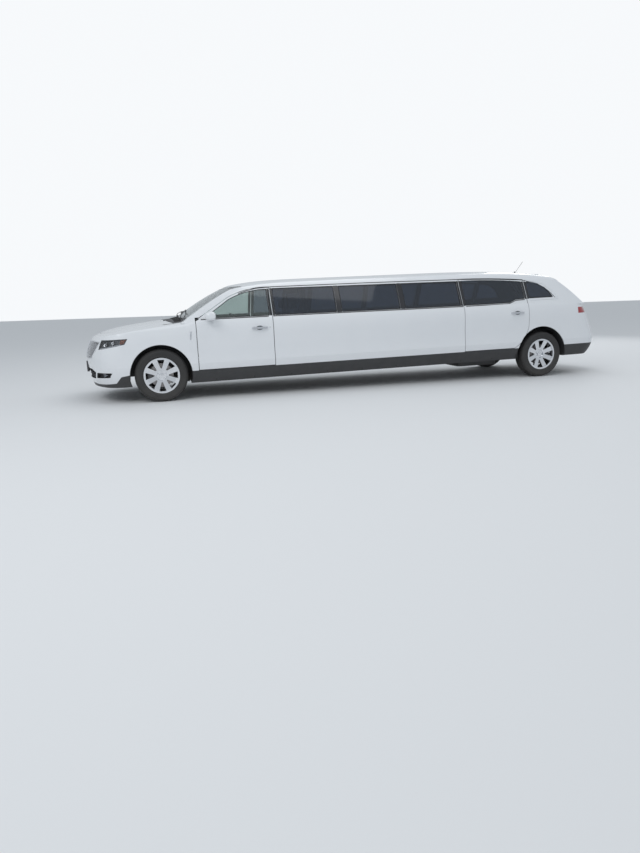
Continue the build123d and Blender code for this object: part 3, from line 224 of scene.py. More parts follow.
class SharedGroups:
    """Node groups that several finishes share, each built once."""

    kinds = {"Colour": "NodeSocketColor", "Roughness": "NodeSocketFloat", "Normal": "NodeSocketVector"}

    def __init__(self) -> None:
        """Builds every shared group."""
        self.groups: dict[str, bpy.types.NodeTree] = {}
        self._tone()
        self._dust()
        even = (1, 1, 1)
        self._relief(Relief.PEEL, "ShaderNodeTexNoise", even, {"Detail": 1})
        self._relief(Relief.MOULDED, "ShaderNodeTexNoise", even, {"Detail": 6})
        self._relief(Relief.LEATHER, "ShaderNodeTexVoronoi", even, {"Detail": 0}, "Distance")
        self._relief(Relief.BRUSHED, "ShaderNodeTexNoise", (1, 0.03, 1), {"Detail": 3})
        self._relief(Relief.CAST, "ShaderNodeTexNoise", even, {"Detail": 9})
        self._relief(Relief.PILE, "ShaderNodeTexNoise", even, {"Detail": 12})
        self._relief(Relief.RIBBED, "ShaderNodeTexWave", (0.02, 1, 0.02), {"Detail": 0})

    def _group(self, name: str, inputs: Settings, outputs: Sequence[str],
               nodes: dict[str, tuple[str, Settings]], links: Sequence[str]) -> None:
        """Builds one group.

        Args:
            name: name of the group.
            inputs: default value of each input, a colour if it has four parts.
            outputs: the outputs.
            nodes: type and settings of each inner node, as grow takes them.
            links: the joins, with the group's own sockets on the nodes in and out.
        """
        tree = bpy.data.node_groups.new(name, "ShaderNodeTree")
        tree.interface.new_socket("Vector", in_out="INPUT", socket_type="NodeSocketVector")
        for label, value in inputs.items():
            kind = "NodeSocketColor" if isinstance(value, tuple) else "NodeSocketFloat"
            tree.interface.new_socket(label, in_out="INPUT", socket_type=kind).default_value = value
        for label in outputs:
            tree.interface.new_socket(label, in_out="OUTPUT", socket_type=self.kinds[label])
        ends = {"in": ("NodeGroupInput", {}), "out": ("NodeGroupOutput", {})}
        grow(tree, ends | nodes, links)
        self.groups[name] = tree

    def _tone(self) -> None:
        """Slow changes of colour and gloss over a surface."""
        self._group(
            "tone", {"Colour": (1, 1, 1, 1), "Shade": (1, 1, 1, 1), "Scale": 3.0, "Base": 0.4,
                     "Spread": 0.05},
            ("Colour", "Roughness"),
            {"noise": ("ShaderNodeTexNoise", {"Detail": 4}),
             "mix": ("ShaderNodeMix", {"data_type": "RGBA"}),
             "spread": ("ShaderNodeMath", {"operation": "MULTIPLY_ADD"})},
            ("in.Vector > noise.Vector", "in.Scale > noise.Scale", "noise.Fac > mix.Factor",
             "in.Colour > mix.A", "in.Shade > mix.B", "noise.Fac > spread.0", "in.Spread > spread.1",
             "in.Base > spread.2", "mix.Result > out.Colour", "spread.Value > out.Roughness"))

    def _dust(self) -> None:
        """Road dust that thickens towards the ground."""
        self._group(
            "road dust", {"Amount": 0.3, "Colour": (1, 1, 1, 1), "Roughness": 0.3}, ("Colour", "Roughness"),
            {"split": ("ShaderNodeSeparateXYZ", {}),
             "fall": ("ShaderNodeMapRange", {"From Min": 0.75, "From Max": 0.05}),
             "noise": ("ShaderNodeTexNoise", {"Scale": 9, "Detail": 8}),
             "share": ("ShaderNodeMath", {"operation": "MULTIPLY"}),
             "mask": ("ShaderNodeMath", {"operation": "MULTIPLY", "use_clamp": True}),
             "mix": ("ShaderNodeMix", {"data_type": "RGBA", "B": (0.30, 0.28, 0.25, 1)}),
             "dull": ("ShaderNodeMath", {"operation": "MULTIPLY_ADD", "1": 0.5})},
            ("in.Vector > split.0", "in.Vector > noise.Vector", "split.Z > fall.Value",
             "fall.Result > share.0", "noise.Fac > share.1", "share.Value > mask.0", "in.Amount > mask.1",
             "mask.Value > mix.Factor", "in.Colour > mix.A", "mask.Value > dull.0",
             "in.Roughness > dull.2", "mix.Result > out.Colour", "dull.Value > out.Roughness"))

    def _relief(self, relief: Relief, texture: str, stretch: Point3, settings: Settings,
                height: str = "Fac") -> None:
        """One fine relief, as a normal.

        Args:
            relief: which relief, and so the group's name.
            texture: node type of its pattern.
            stretch: scale of the pattern along each axis.
            settings: settings of the pattern.
            height: the pattern's output that gives the height.
        """
        self._group(
            relief.value, {"Scale": 200.0, "Depth": 0.0002, "Strength": 0.2}, ("Normal",),
            {"mapping": ("ShaderNodeMapping", {"Scale": stretch}), "pattern": (texture, settings),
             "bump": ("ShaderNodeBump", {})},
            ("in.Vector > mapping.Vector", "mapping.Vector > pattern.Vector", "in.Scale > pattern.Scale",
             f"pattern.{height} > bump.Height", "in.Depth > bump.Distance",
             "in.Strength > bump.Strength", "bump.Normal > out.Normal"))

    def use(self, tree: bpy.types.NodeTree, name: str, place: bpy.types.NodeSocket,
            values: dict[str, float | tuple]) -> bpy.types.Node:
        """Places a shared group in a material.

        Args:
            tree: the material's node tree.
            name: name of the group.
            place: socket that gives the coordinates.
            values: value of each named input.

        Returns:
            The group node.
        """
        node = tree.nodes.new("ShaderNodeGroup")
        node.node_tree = self.groups[name]
        tree.links.new(place, node.inputs["Vector"])
        for label, value in values.items():
            node.inputs[label].default_value = value
        return node


FINISHES = (
    Finish("white_pearl", (0.80, 0.82, 0.84), (0.77, 0.79, 0.82), 0.22, 0.05, coat=1.0, pitch=260,
           depth=0.0001, strength=0.05, dust=0.10),
    Finish("black_cladding", (0.028, 0.029, 0.032), (0.04, 0.041, 0.044), 0.42, 0.12,
           relief=Relief.MOULDED, pitch=900, strength=0.3, dust=0.16),
    Finish("piano_black", (0.010, 0.011, 0.014), (0.014, 0.015, 0.019), 0.06, 0.04, coat=0.6, pitch=90,
           strength=0.04),
    Finish("privacy_glass", (0.16, 0.19, 0.24), (0.14, 0.17, 0.22), 0.02, 0.02, transmission=0.88,
           pitch=14, strength=0.03),
    Finish("clear_glass", (0.72, 0.80, 0.77), (0.68, 0.77, 0.74), 0.02, 0.02, transmission=0.95,
           pitch=14, strength=0.03),
    Finish("screen_glass", (0.80, 0.86, 0.84), (0.76, 0.83, 0.81), 0.02, 0.02, transmission=0.95,
           pitch=10, strength=0.03),
    Finish("bright_chrome", (0.82, 0.83, 0.85), (0.74, 0.75, 0.78), 0.07, 0.06, metallic=1.0, pitch=60,
           strength=0.03),
    Finish("dark_chrome", (0.24, 0.25, 0.27), (0.17, 0.18, 0.20), 0.16, 0.08, metallic=1.0, pitch=80,
           strength=0.05),
    Finish("polished_wheel", (0.86, 0.87, 0.89), (0.70, 0.71, 0.74), 0.10, 0.10, metallic=1.0,
           pitch=90, strength=0.06, dust=0.12),
    Finish("wheel_barrel", (0.34, 0.34, 0.36), (0.24, 0.24, 0.26), 0.34, 0.12, metallic=1.0,
           relief=Relief.CAST, pitch=260, strength=0.2, dust=0.8),
    Finish("tyre_rubber", (0.020, 0.020, 0.021), (0.034, 0.033, 0.033), 0.62, 0.14,
           relief=Relief.MOULDED, pitch=500, depth=0.0004, strength=0.35, dust=0.16),
    Finish("brake_iron", (0.36, 0.35, 0.35), (0.26, 0.24, 0.23), 0.32, 0.12, metallic=1.0,
           relief=Relief.CAST, pitch=120, strength=0.2, patch=20),
    Finish("caliper_paint", (0.10, 0.10, 0.11), (0.14, 0.14, 0.15), 0.45, 0.1, relief=Relief.CAST,
           pitch=300, depth=0.0004, strength=0.3, dust=0.5),
    Finish("lamp_lens", (0.96, 0.97, 0.98), (0.93, 0.95, 0.97), 0.02, 0.02, transmission=0.98,
           ior=1.25, pitch=30, strength=0.02),
    Finish("smoked_lens", (0.30, 0.12, 0.07), (0.22, 0.08, 0.05), 0.05, 0.04, coat=0.6,
           relief=Relief.RIBBED, pitch=60, depth=0.001, strength=0.3),
    Finish("red_lens", (0.42, 0.012, 0.018), (0.30, 0.008, 0.012), 0.08, 0.04, coat=1.0,
           relief=Relief.RIBBED, pitch=30, depth=0.002, strength=0.35),
    Finish("lamp_bowl", (0.80, 0.81, 0.83), (0.60, 0.61, 0.64), 0.08, 0.06, metallic=1.0, pitch=70,
           strength=0.05),
    Finish("lamp_housing", (0.10, 0.105, 0.115), (0.16, 0.165, 0.175), 0.30, 0.08, metallic=0.6,
           relief=Relief.MOULDED, pitch=400, strength=0.1),
    Finish("black_rubber", (0.015, 0.015, 0.016), (0.024, 0.024, 0.025), 0.55, 0.1,
           relief=Relief.MOULDED, pitch=600, strength=0.2),
    Finish("trim_plastic", (0.055, 0.055, 0.060), (0.075, 0.075, 0.080), 0.52, 0.1,
           relief=Relief.LEATHER, pitch=900, depth=0.0002, strength=0.35),
    Finish("black_leather", (0.045, 0.044, 0.047), (0.070, 0.068, 0.072), 0.42, 0.12,
           relief=Relief.LEATHER, pitch=420, depth=0.0005, strength=0.5),
    Finish("carpet", (0.050, 0.050, 0.055), (0.085, 0.085, 0.090), 0.92, 0.05, relief=Relief.PILE,
           pitch=900, depth=0.001, strength=0.35, patch=30),
    Finish("headlining", (0.36, 0.355, 0.345), (0.31, 0.305, 0.30), 0.9, 0.05, relief=Relief.PILE,
           pitch=700, depth=0.0003, strength=0.12),
    Finish("underbody_coat", (0.045, 0.045, 0.048), (0.09, 0.085, 0.08), 0.7, 0.15,
           relief=Relief.CAST, pitch=120, depth=0.001, strength=0.4, dust=0.6, patch=6),
    Finish("cast_alloy", (0.38, 0.38, 0.40), (0.26, 0.26, 0.27), 0.48, 0.15, metallic=0.9,
           relief=Relief.CAST, pitch=200, depth=0.0006, strength=0.4, dust=0.5, patch=9),
    Finish("stainless_pipe", (0.52, 0.50, 0.47), (0.36, 0.32, 0.28), 0.34, 0.15, metallic=1.0,
           relief=Relief.BRUSHED, pitch=200, depth=0.0002, strength=0.2, dust=0.5, patch=5),
    Finish("blank_plate", (0.78, 0.79, 0.80), (0.72, 0.73, 0.75), 0.36, 0.08, pitch=300, strength=0.08),
    Finish("wood_veneer", (0.10, 0.045, 0.02), (0.20, 0.09, 0.035), 0.16, 0.06, coat=0.8,
           relief=Relief.BRUSHED, pitch=60, depth=0.0002, strength=0.15, patch=14),
    Finish("display_glass", (0.012, 0.014, 0.018), (0.016, 0.018, 0.024), 0.05, 0.03, coat=0.5, pitch=60,
           strength=0.02),
    Finish("mirror_silver", (0.86, 0.88, 0.90), (0.82, 0.84, 0.86), 0.02, 0.01, metallic=1.0, pitch=8,
           strength=0.01),
    Finish("cabin_glow", (1.0, 0.93, 0.80), (0.95, 0.88, 0.75), 0.4, glow=0.6),
)


@dataclass
class Shape:
    """Points and faces of a mesh that is being put together."""

    points: list[Vector] = field(default_factory=list)
    faces: list[tuple[int, ...]] = field(default_factory=list)

    def join(self, other: "Shape") -> "Shape":
        """Adds another shape's points and faces.

        Args:
            other: the shape to add.

        Returns:
            This shape.
        """
        start = len(self.points)
        self.points.extend(other.points)
        self.faces.extend(tuple(start + i for i in face) for face in other.faces)
        return self

    def moved(self, matrix: Matrix) -> "Shape":
        """A copy of this shape in another place."""
        return Shape([matrix @ p for p in self.points], list(self.faces))

    def mirrored(self) -> "Shape":
        """This shape on the other side of the car."""
        points = [Vector((p.x, -p.y, p.z)) for p in self.points]
        return Shape(points, [tuple(reversed(face)) for face in self.faces])


def loft(rows: Sequence[Sequence[Vector]], around: bool = True, along: bool = False) -> Shape:
    """Rows of points joined to their neighbours, with open ends shut.

    Args:
        rows: the rows, all of one length.
        around: whether a row's last point joins its first.
        along: whether the last row joins the first.

    Returns:
        The closed shape.
    """
    count, sides = len(rows), len(rows[0])
    shape = Shape([point for row in rows for point in row])
    for i in range(count if along else count - 1):
        j = (i + 1) % count
        for k in range(sides if around else sides - 1):
            m = (k + 1) % sides
            shape.faces.append((i * sides + k, i * sides + m, j * sides + m, j * sides + k))
    if not along:
        shape.faces.append(tuple(reversed(range(sides))))
        shape.faces.append(tuple(range((count - 1) * sides, count * sides)))
    if not around:
        shape.faces.append(tuple(range(0, count * sides, sides)))
        shape.faces.append(tuple(range(count * sides - 1, 0, -sides)))
    return shape


def sweep(path: Sequence[Vector], ups: Sequence[Vector], profile: Sequence[Point2],
          closed: bool = False) -> Shape:
    """A closed profile carried along a path.

    Args:
        path: points of the path.
        ups: direction that the profile's second axis takes at each point.
        profile: corners, across the path and along the up direction.
        closed: whether the path runs round to its start.

    Returns:
        The swept shape, with its ends shut.
    """
    count, rows = len(path), []
    for i, (place, up) in enumerate(zip(path, ups)):
        before = path[i - 1] if closed or i else path[i]
        after = path[(i + 1) % count] if closed or i < count - 1 else path[i]
        along = (after - before).normalized()
        across = along.cross(up).normalized()
        rise = across.cross(along)
        rows.append([place + across * u + rise * v for u, v in profile])
    return loft(rows, along=closed)


def turned(profile: Sequence[Point2], segments: int = 48, closed: bool = True) -> Shape:
    """A profile turned about the Y axis.

    Args:
        profile: radius and place along Y of each corner.
        segments: steps round the circle.
        closed: whether the last corner joins the first.

    Returns:
        The turned shape, with open ends shut by a disc.
    """
    angles = [2 * math.pi * i / segments for i in range(segments)]
    rows = [[Vector((r * math.cos(a), y, r * math.sin(a))) for r, y in profile] for a in angles]
    return loft(rows, closed, True)


def rounded_box(size: Point3, radius: float, steps: int = 3) -> Shape:
    """A box about the origin with rounded edges, as rings of a rounded outline.

    Args:
        size: whole size along each axis.
        radius: radius of the edges.
        steps: steps in a quarter turn.

    Returns:
        The closed box.
    """
    hx, hy, hz = (0.5 * s for s in size)
    radius = min(radius, hx * 0.98, hy * 0.98, hz * 0.98)
    quarter = [math.pi / 2 * (i / steps) for i in range(steps + 1)]
    rings = [(radius * math.sin(a), -hz + radius - radius * math.cos(a)) for a in quarter]
    rings += [(radius * math.cos(a), hz - radius + radius * math.sin(a)) for a in quarter]
    rows = []
    for reach, z in rings:
        row = []
        for corner in range(4):
            for i in range(steps + 1):
                angle = math.pi / 2 * (corner + i / steps)
                sx = (hx - radius) * (1 if corner in (0, 3) else -1)
                sy = (hy - radius) * (1 if corner in (0, 1) else -1)
                row.append(Vector((sx + reach * math.cos(angle), sy + reach * math.sin(angle), z)))
        rows.append(row)
    return loft(rows)


def slab(outline: Sequence[Vector], offset: Vector) -> Shape:
    """A flat outline given a thickness by an offset."""
    return loft([outline, [p + offset for p in outline]])


def spaced(corners: Sequence[Sequence[float]], step: float, closed: bool = True) -> list[tuple[float, ...]]:
    """Points along a broken line, no further apart than a step.

    Args:
        corners: the corners of the line, with any number of coordinates.
        step: largest distance between two points.
        closed: whether the line runs back to its start.

    Returns:
        The points, without a second first point.
    """
    points: list[tuple[float, ...]] = []
    pairs = list(zip(corners, [*corners[1:], corners[0]]))
    for a, b in pairs if closed else pairs[:-1]:
        parts = max(1, math.ceil(math.dist(a, b) / step))
        points.extend(tuple(p + (q - p) * i / parts for p, q in zip(a, b)) for i in range(parts))
    if not closed:
        points.append(tuple(corners[-1]))
    return points


def arc(start: Point2, middle: Point2, end: Point2, steps: int = 16) -> list[Point2]:
    """Points of the circle through three points, from the first to the last.

    Args:
        start: the first point.
        middle: a point between the ends.
        end: the last point.
        steps: steps of the arc.

    Returns:
        The points, with both ends.
    """
    (ax, ay), (bx, by), (cx, cy) = start, middle, end
    d = 2 * (ax * (by - cy) + bx * (cy - ay) + cx * (ay - by))
    a2, b2, c2 = ax * ax + ay * ay, bx * bx + by * by, cx * cx + cy * cy
    ux = (a2 * (by - cy) + b2 * (cy - ay) + c2 * (ay - by)) / d
    uy = (a2 * (cx - bx) + b2 * (ax - cx) + c2 * (bx - ax)) / d
    first, mid, last = (math.atan2(y - uy, x - ux) for x, y in (start, middle, end))
    turn = (last - first) % (2 * math.pi)
    if (mid - first) % (2 * math.pi) > turn:
        turn -= 2 * math.pi
    radius = math.dist(start, (ux, uy))
    angles = [first + turn * i / steps for i in range(steps + 1)]
    return [(ux + radius * math.cos(a), uy + radius * math.sin(a)) for a in angles]


def inset(outline: Sequence[Point2], distance: float) -> list[Point2]:
    """An outline moved inwards by a distance at each corner.

    Args:
        outline: corners in order.
        distance: how far inwards, or outwards if it is negative.

    Returns:
        The moved corners.
    """
    area = sum(a[0] * b[1] - b[0] * a[1] for a, b in zip(outline, [*outline[1:], outline[0]]))
    turn = 1 if area > 0 else -1
    moved = []
    for i, (x, y) in enumerate(outline):
        before, after = outline[i - 1], outline[(i + 1) % len(outline)]
        one = Vector((x - before[0], y - before[1])).normalized()
        two = Vector((after[0] - x, after[1] - y)).normalized()
        side = Vector((-one.y - two.y, one.x + two.x))
        scale = turn * 2 * distance / max(side.length_squared, 0.5)
        moved.append((x + side.x * scale, y + side.y * scale))
    return moved


def within(across: np.ndarray, up: np.ndarray, outline: Sequence[Point2 | Vector]) -> np.ndarray:
    """Which of many flat points lie inside an outline.

    Args:
        across: first coordinate of each point.
        up: second coordinate of each point.
        outline: corners of the outline.

    Returns:
        True for each point inside.
    """
    inside = np.zeros(len(across), dtype=bool)
    for (ax, ay), (bx, by) in zip(outline, [*outline[1:], outline[0]]):
        if ay != by:
            crosses = (ay > up) != (by > up)
            inside ^= crosses & (across < (bx - ax) * (up - ay) / (by - ay) + ax)
    return inside


class Skin:
    """The outside of some CAD nodes, to lay trim on."""

    beside = (0.002, 0.004, 0.007, 0.011, 0.016, 0.024)

    def __init__(self, *names: str) -> None:
        """Gathers the faces of the named CAD nodes."""
        points: list[Vector] = []
        faces: list[tuple[int, ...]] = []
        for name in names:
            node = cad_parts[name]
            start = len(points)
            points.extend(node.matrix_world @ v.co for v in node.data.vertices)
            faces.extend(tuple(start + i for i in p.vertices) for p in node.data.polygons)
        self.tree = BVHTree.FromPolygons(points, faces)

    def cast(self, origin: Vector, direction: Vector, depth: float = 20.0) -> tuple[Vector, Vector]:
        """Where a ray meets the skin.

        Args:
            origin: start of the ray.
            direction: its direction.
            depth: length of the ray.

        Returns:
            The point met and the normal that faces the ray, at the depth found beside it if the ray
            itself meets nothing.
        """
        across = direction.orthogonal().normalized()
        up = direction.cross(across)
        place, normal, _, _ = self.tree.ray_cast(origin, direction, depth)
        for reach in self.beside if place is None else ():
            for turn in (across, -across, up, -up):
                found, slope, _, _ = self.tree.ray_cast(origin + turn * reach, direction, depth)
                if place is None and found is not None:
                    place, normal = origin + direction * (found - origin).dot(direction), slope
        if place is None:
            place, normal, _, _ = self.tree.find_nearest(origin)
        if normal.dot(direction) > 0:
            normal = -normal
        return place, normal

    def side(self, x: float, z: float, side: int) -> tuple[Vector, Vector]:
        """Place and normal on a side of the car.

        Args:
            x: level place along X.
            z: level height.
            side: the side's direction along Y.

        Returns:
            The point met and the normal there.
        """
        origin = STANCE.point(x, 0, z)
        origin.y = 2.0 * side
        return self.cast(origin, Vector((0, -side, 0)), 1.6)

    def flank(self, side: int) -> "Landing":
        """The landing on one side of the car."""
        return lambda x, z: self.side(x, z, side)

    def front(self, y: float, z: float) -> tuple[Vector, Vector]:
        """Place and normal on the nose, at a level height."""
        return self.cast(STANCE.point(-6.0, y, z), STANCE.direction(1, 0, 0))

    def rear(self, y: float, z: float) -> tuple[Vector, Vector]:
        """Place and normal on the tail, at a level height."""
        return self.cast(STANCE.point(6.0, y, z), STANCE.direction(-1, 0, 0))

    def top(self, x: float, y: float) -> tuple[Vector, Vector]:
        """Place and normal on top of the car."""
        return self.cast(STANCE.point(x, y, 3.0), STANCE.direction(0, 0, -1))


Landing = Callable[[float, float], tuple[Vector, Vector]]


def patch(outline: Sequence[Point2], landing: Landing, lift: float, thickness: float,
          step: float = 0.03) -> Shape:
    """A thin shell that lies on a skin inside an outline.

    Args:
        outline: corners of the outline in the plane that landing takes.
        landing: gives the place and normal on the skin for a point of that plane.
        lift: height of the shell's inner side over the skin.
        thickness: thickness of the shell.
        step: distance between its points.

    Returns:
        The closed shell.
    """
    rim = [Vector(p) for p in spaced(outline, step)]
    (x0, x1), (y0, y1) = ((min(p[i] for p in rim), max(p[i] for p in rim)) for i in (0, 1))
    grid = [Vector((x0 + (i + 0.5) * step, y0 + (j + 0.5) * step))
            for i in range(int((x1 - x0) / step) + 1) for j in range(int((y1 - y0) / step) + 1)]
    inside = within(np.array([p.x for p in grid]), np.array([p.y for p in grid]), rim)
    inner = [p for p, held in zip(grid, inside) if held and min((p - q).length for q in rim) > 0.4 * step]
    edges = [(i, (i + 1) % len(rim)) for i in range(len(rim))]
    flat, _, faces, *_ = delaunay_2d_cdt([*rim, *inner], edges, [], 1, 1e-6)
    landings = [landing(p.x, p.y) for p in flat]
    count = len(flat)
    shape = Shape([place + normal * (lift + thickness) for place, normal in landings])
    shape.points.extend(place + normal * lift for place, normal in landings)
    used: dict[tuple[int, int], int] = {}
    for face in faces:
        shape.faces.append(tuple(face))
        shape.faces.append(tuple(count + i for i in reversed(face)))
        for a, b in zip(face, [*face[1:], face[0]]):
            used[(a, b)] = used.get((a, b), 0) + 1
    for a, b in used:
        if (b, a) not in used:
            shape.faces.append((a, count + a, count + b, b))
    return shape


def line_on(points: Sequence[Point2], landing: Landing, profile: Sequence[Point2], step: float = 0.03,
            closed: bool = False) -> Shape:
    """A moulding that follows a skin.

    Args:
        points: corners of its path in the plane that landing takes.
        landing: gives the place and normal on the skin.
        profile: corners, across the path and out from the skin.
        step: distance between its stations.
        closed: whether it runs round to its start.

    Returns:
        The closed moulding.
    """
    landings = [landing(*p) for p in spaced(points, step, closed)]
    return sweep([p for p, _ in landings], [n for _, n in landings], profile, closed)


def bead(width: float, height: float, low: float = 0.0) -> list[Point2]:
    """Profile of a rounded moulding, from below the skin to its crown."""
    w = width / 2
    return [(-w, low), (-w, height * 0.55), (-w * 0.6, height), (w * 0.6, height), (w, height * 0.55),
            (w, low)]


class Repeater:
    """Geometry Nodes that repeat one item along a line or round an axle."""

    def __init__(self) -> None:
        """Builds the node tree."""
        tree = bpy.data.node_groups.new("repeat item", "GeometryNodeTree")
        for label, kind in (("Geometry", "NodeSocketGeometry"), ("Item", "NodeSocketObject"),
                            ("Count", "NodeSocketInt"), ("Step", "NodeSocketVector"),
                            ("Turn", "NodeSocketVector"), ("Material", "NodeSocketMaterial")):
            tree.interface.new_socket(label, in_out="INPUT", socket_type=kind)
        tree.interface.new_socket("Geometry", in_out="OUTPUT", socket_type="NodeSocketGeometry")
        grow(tree, {"in": ("NodeGroupInput", {}), "line": ("GeometryNodeMeshLine", {}),
                    "item": ("GeometryNodeObjectInfo", {}), "index": ("GeometryNodeInputIndex", {}),
                    "turn": ("ShaderNodeVectorMath", {"operation": "SCALE"}),
                    "place": ("GeometryNodeInstanceOnPoints", {}),
                    "real": ("GeometryNodeRealizeInstances", {}),
                    "dress": ("GeometryNodeSetMaterial", {}), "out": ("NodeGroupOutput", {})},
             ("in.Count > line.Count", "in.Step > line.Offset", "in.Item > item.Object",
              "in.Turn > turn.0", "index.Index > turn.Scale", "line.Mesh > place.Points",
              "item.Geometry > place.Instance", "turn.Vector > place.Rotation",
              "place.Instances > real.Geometry", "real.Geometry > dress.Geometry",
              "in.Material > dress.Material", "dress.Geometry > out.Geometry"))
        self.tree = tree

    def run(self, item: Shape, count: int, step: Point3, turn: Point3,
            material: bpy.types.Material) -> Shape:
        """Repeats an item and reads the result back.

        Args:
            item: shape of one item.
            count: how many.
            step: offset from one to the next.
            turn: rotation from one to the next, in radians about each axis.
            material: material that the tree sets.

        Returns:
            All the items as one shape.
        """
        scene = bpy.context.scene.collection
        source = _new_object("item", item)
        carrier = bpy.data.objects.new("carrier", bpy.data.meshes.new("carrier"))
        scene.objects.link(source)
        scene.objects.link(carrier)
        modifier = carrier.modifiers.new("repeat", "NODES")
        modifier.node_group = self.tree
        values = {"Item": source, "Count": count, "Step": step, "Turn": turn, "Material": material}
        for socket in self.tree.interface.items_tree:
            if socket.in_out == "INPUT" and socket.name in values:
                modifier[socket.identifier] = values[socket.name]
        graph = bpy.context.evaluated_depsgraph_get()
        mesh = bpy.data.meshes.new_from_object(carrier.evaluated_get(graph), depsgraph=graph)
        shape = Shape([v.co.copy() for v in mesh.vertices], [tuple(p.vertices) for p in mesh.polygons])
        carrier.modifiers.remove(modifier)
        for thing in (source, carrier):
            bpy.data.objects.remove(thing)
        bpy.data.meshes.remove(mesh)
        return shape


def _new_object(name: str, shape: Shape) -> bpy.types.Object:
    """A new object with outward faces, not yet in the scene.

    Args:
        name: name of the object and of its mesh.
        shape: its shape.

    Returns:
        The object.
    """
    mesh = bpy.data.meshes.new(name)
    mesh.from_pydata(shape.points, [], shape.faces)
    work = bmesh.new()
    work.from_mesh(mesh)
    bmesh.ops.remove_doubles(work, verts=work.verts, dist=1e-6)
    bmesh.ops.recalc_face_normals(work, faces=work.faces)
    work.to_mesh(mesh)
    work.free()
    return bpy.data.objects.new(name, mesh)


class Workshop:
    """The materials and the way every piece is put in the scene."""

    def __init__(self) -> None:
        """Builds the finishes and the repeater."""
        groups = SharedGroups()
        self.materials = {finish.name: finish.build(groups) for finish in FINISHES}
        self.repeater = Repeater()
        self.placed: list[str] = []

    def dress(self, node: str, finish: str) -> None:
        """Gives a whole CAD node one finish.

        Args:
            node: name of the CAD node.
            finish: name of the finish.
        """
        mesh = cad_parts[node].data
        mesh.materials.clear()
        mesh.materials.append(self.materials[finish])

    def zones(self, node: str, finishes: Sequence[str],
              rule: Callable[[np.ndarray, np.ndarray], np.ndarray]) -> None:
        """Gives the faces of a CAD node different finishes.

        Args:
            node: name of the CAD node.
            finishes: the finishes in slot order.
            rule: gives a slot for each face from its level centre and normal.
        """
        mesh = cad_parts[node].data
        count = len(mesh.polygons)
        centres, normals = np.empty(count * 3), np.empty(count * 3)
        mesh.polygons.foreach_get("center", centres)
        mesh.polygons.foreach_get("normal", normals)
        mesh.materials.clear()
        for finish in finishes:
            mesh.materials.append(self.materials[finish])
        slots = rule(STANCE.level(centres.reshape(-1, 3)), normals.reshape(-1, 3))
        mesh.polygons.foreach_set("material_index", slots.astype(np.int32))
        mesh.update()

    def place(self, name: str, shape: Shape, finish: str, body: str = "root", smooth: bool = True,
              angle: float = 35.0, bevel: float = 0.0) -> bpy.types.Object:
        """Puts a piece in the scene on the body that carries it.

        Args:
            name: name of the piece.
            shape: its shape in the frame of the ground.
            finish: name of its finish.
            body: body that it moves with.
            smooth: whether its faces are shaded smooth between sharp edges.
            angle: angle in degrees past which an edge stays sharp.
            bevel: width of the bevel on its sharp edges.

        Returns:
            The new object.
        """
        thing = _new_object(name, shape)
        bpy.context.scene.collection.objects.link(thing)
        thing.data.materials.append(self.materials[finish])
        if smooth:
            thing.data.polygons.foreach_set("use_smooth", [True] * len(thing.data.polygons))
            thing.data.set_sharp_from_angle(angle=math.radians(angle))
        if bevel > 0:
            modifier = thing.modifiers.new("edges", "BEVEL")
            modifier.width = bevel
            modifier.segments = 2
            modifier.limit_method = "ANGLE"
        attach(thing, body)
        self.placed.append(name)
        return thing

    def repeat(self, item: Shape, count: int, step: Point3 = (0, 0, 0), turn: Point3 = (0, 0, 0),
               finish: str = "bright_chrome") -> Shape:
        """Repeats an item with Geometry Nodes."""
        return self.repeater.run(item, count, step, turn, self.materials[finish])


def chain(*parts: Shape) -> Shape:
    """Several shapes as one.

    Args:
        parts: the shapes.

    Returns:
        One shape with all their points and faces.
    """
    whole = Shape()
    for part in parts:
        whole.join(part)
    return whole


def both_sides(shape: Shape) -> Shape:
    """A shape of the car's left side together with its mirror image."""
    return Shape(list(shape.points), list(shape.faces)).join(shape.mirrored())


def at(x: float, y: float, z: float, turn: Matrix | None = None) -> Matrix:
    """The move that takes a shape about the origin to a level body point, turned with the body."""
    place = Matrix.Translation(STANCE.point(x, y, z)) @ Matrix.Rotation(-STANCE.rake, 4, "Y")
    return place @ turn if turn else place


def tip(degrees: float, axis: str) -> Matrix:
    """A turn about an axis of the frame."""
    return Matrix.Rotation(math.radians(degrees), 4, axis)


def facing(place: Vector, axis: Vector) -> Matrix:
    """The move that takes a turned shape to a place, with its Y axis along an axis."""
    return Matrix.Translation(place) @ Vector((0, 1, 0)).rotation_difference(axis).to_matrix().to_4x4()


def block(size: Point3, radius: float, place: Matrix) -> Shape:
    """A rounded box in its place."""
    return rounded_box(size, radius).moved(place)


def rect(x0: float, x1: float, z0: float, z1: float) -> list[Point2]:
    """Corners of an upright rectangle."""
    return [(x0, z0), (x1, z0), (x1, z1), (x0, z1)]


def outward(centres: np.ndarray, normals: np.ndarray) -> np.ndarray:
    """How far each face looks away from the car's middle, from -1 to 1."""
    return normals[:, 1] * np.sign(centres[:, 1])


def in_reveal(centres: np.ndarray, out: np.ndarray) -> np.ndarray:
    """Which faces line a window opening, out being how far each looks outward."""
    return (centres[:, 2] > REVEAL_LOW) & (centres[:, 2] < REVEAL_HIGH) & (np.abs(out) < 0.35)


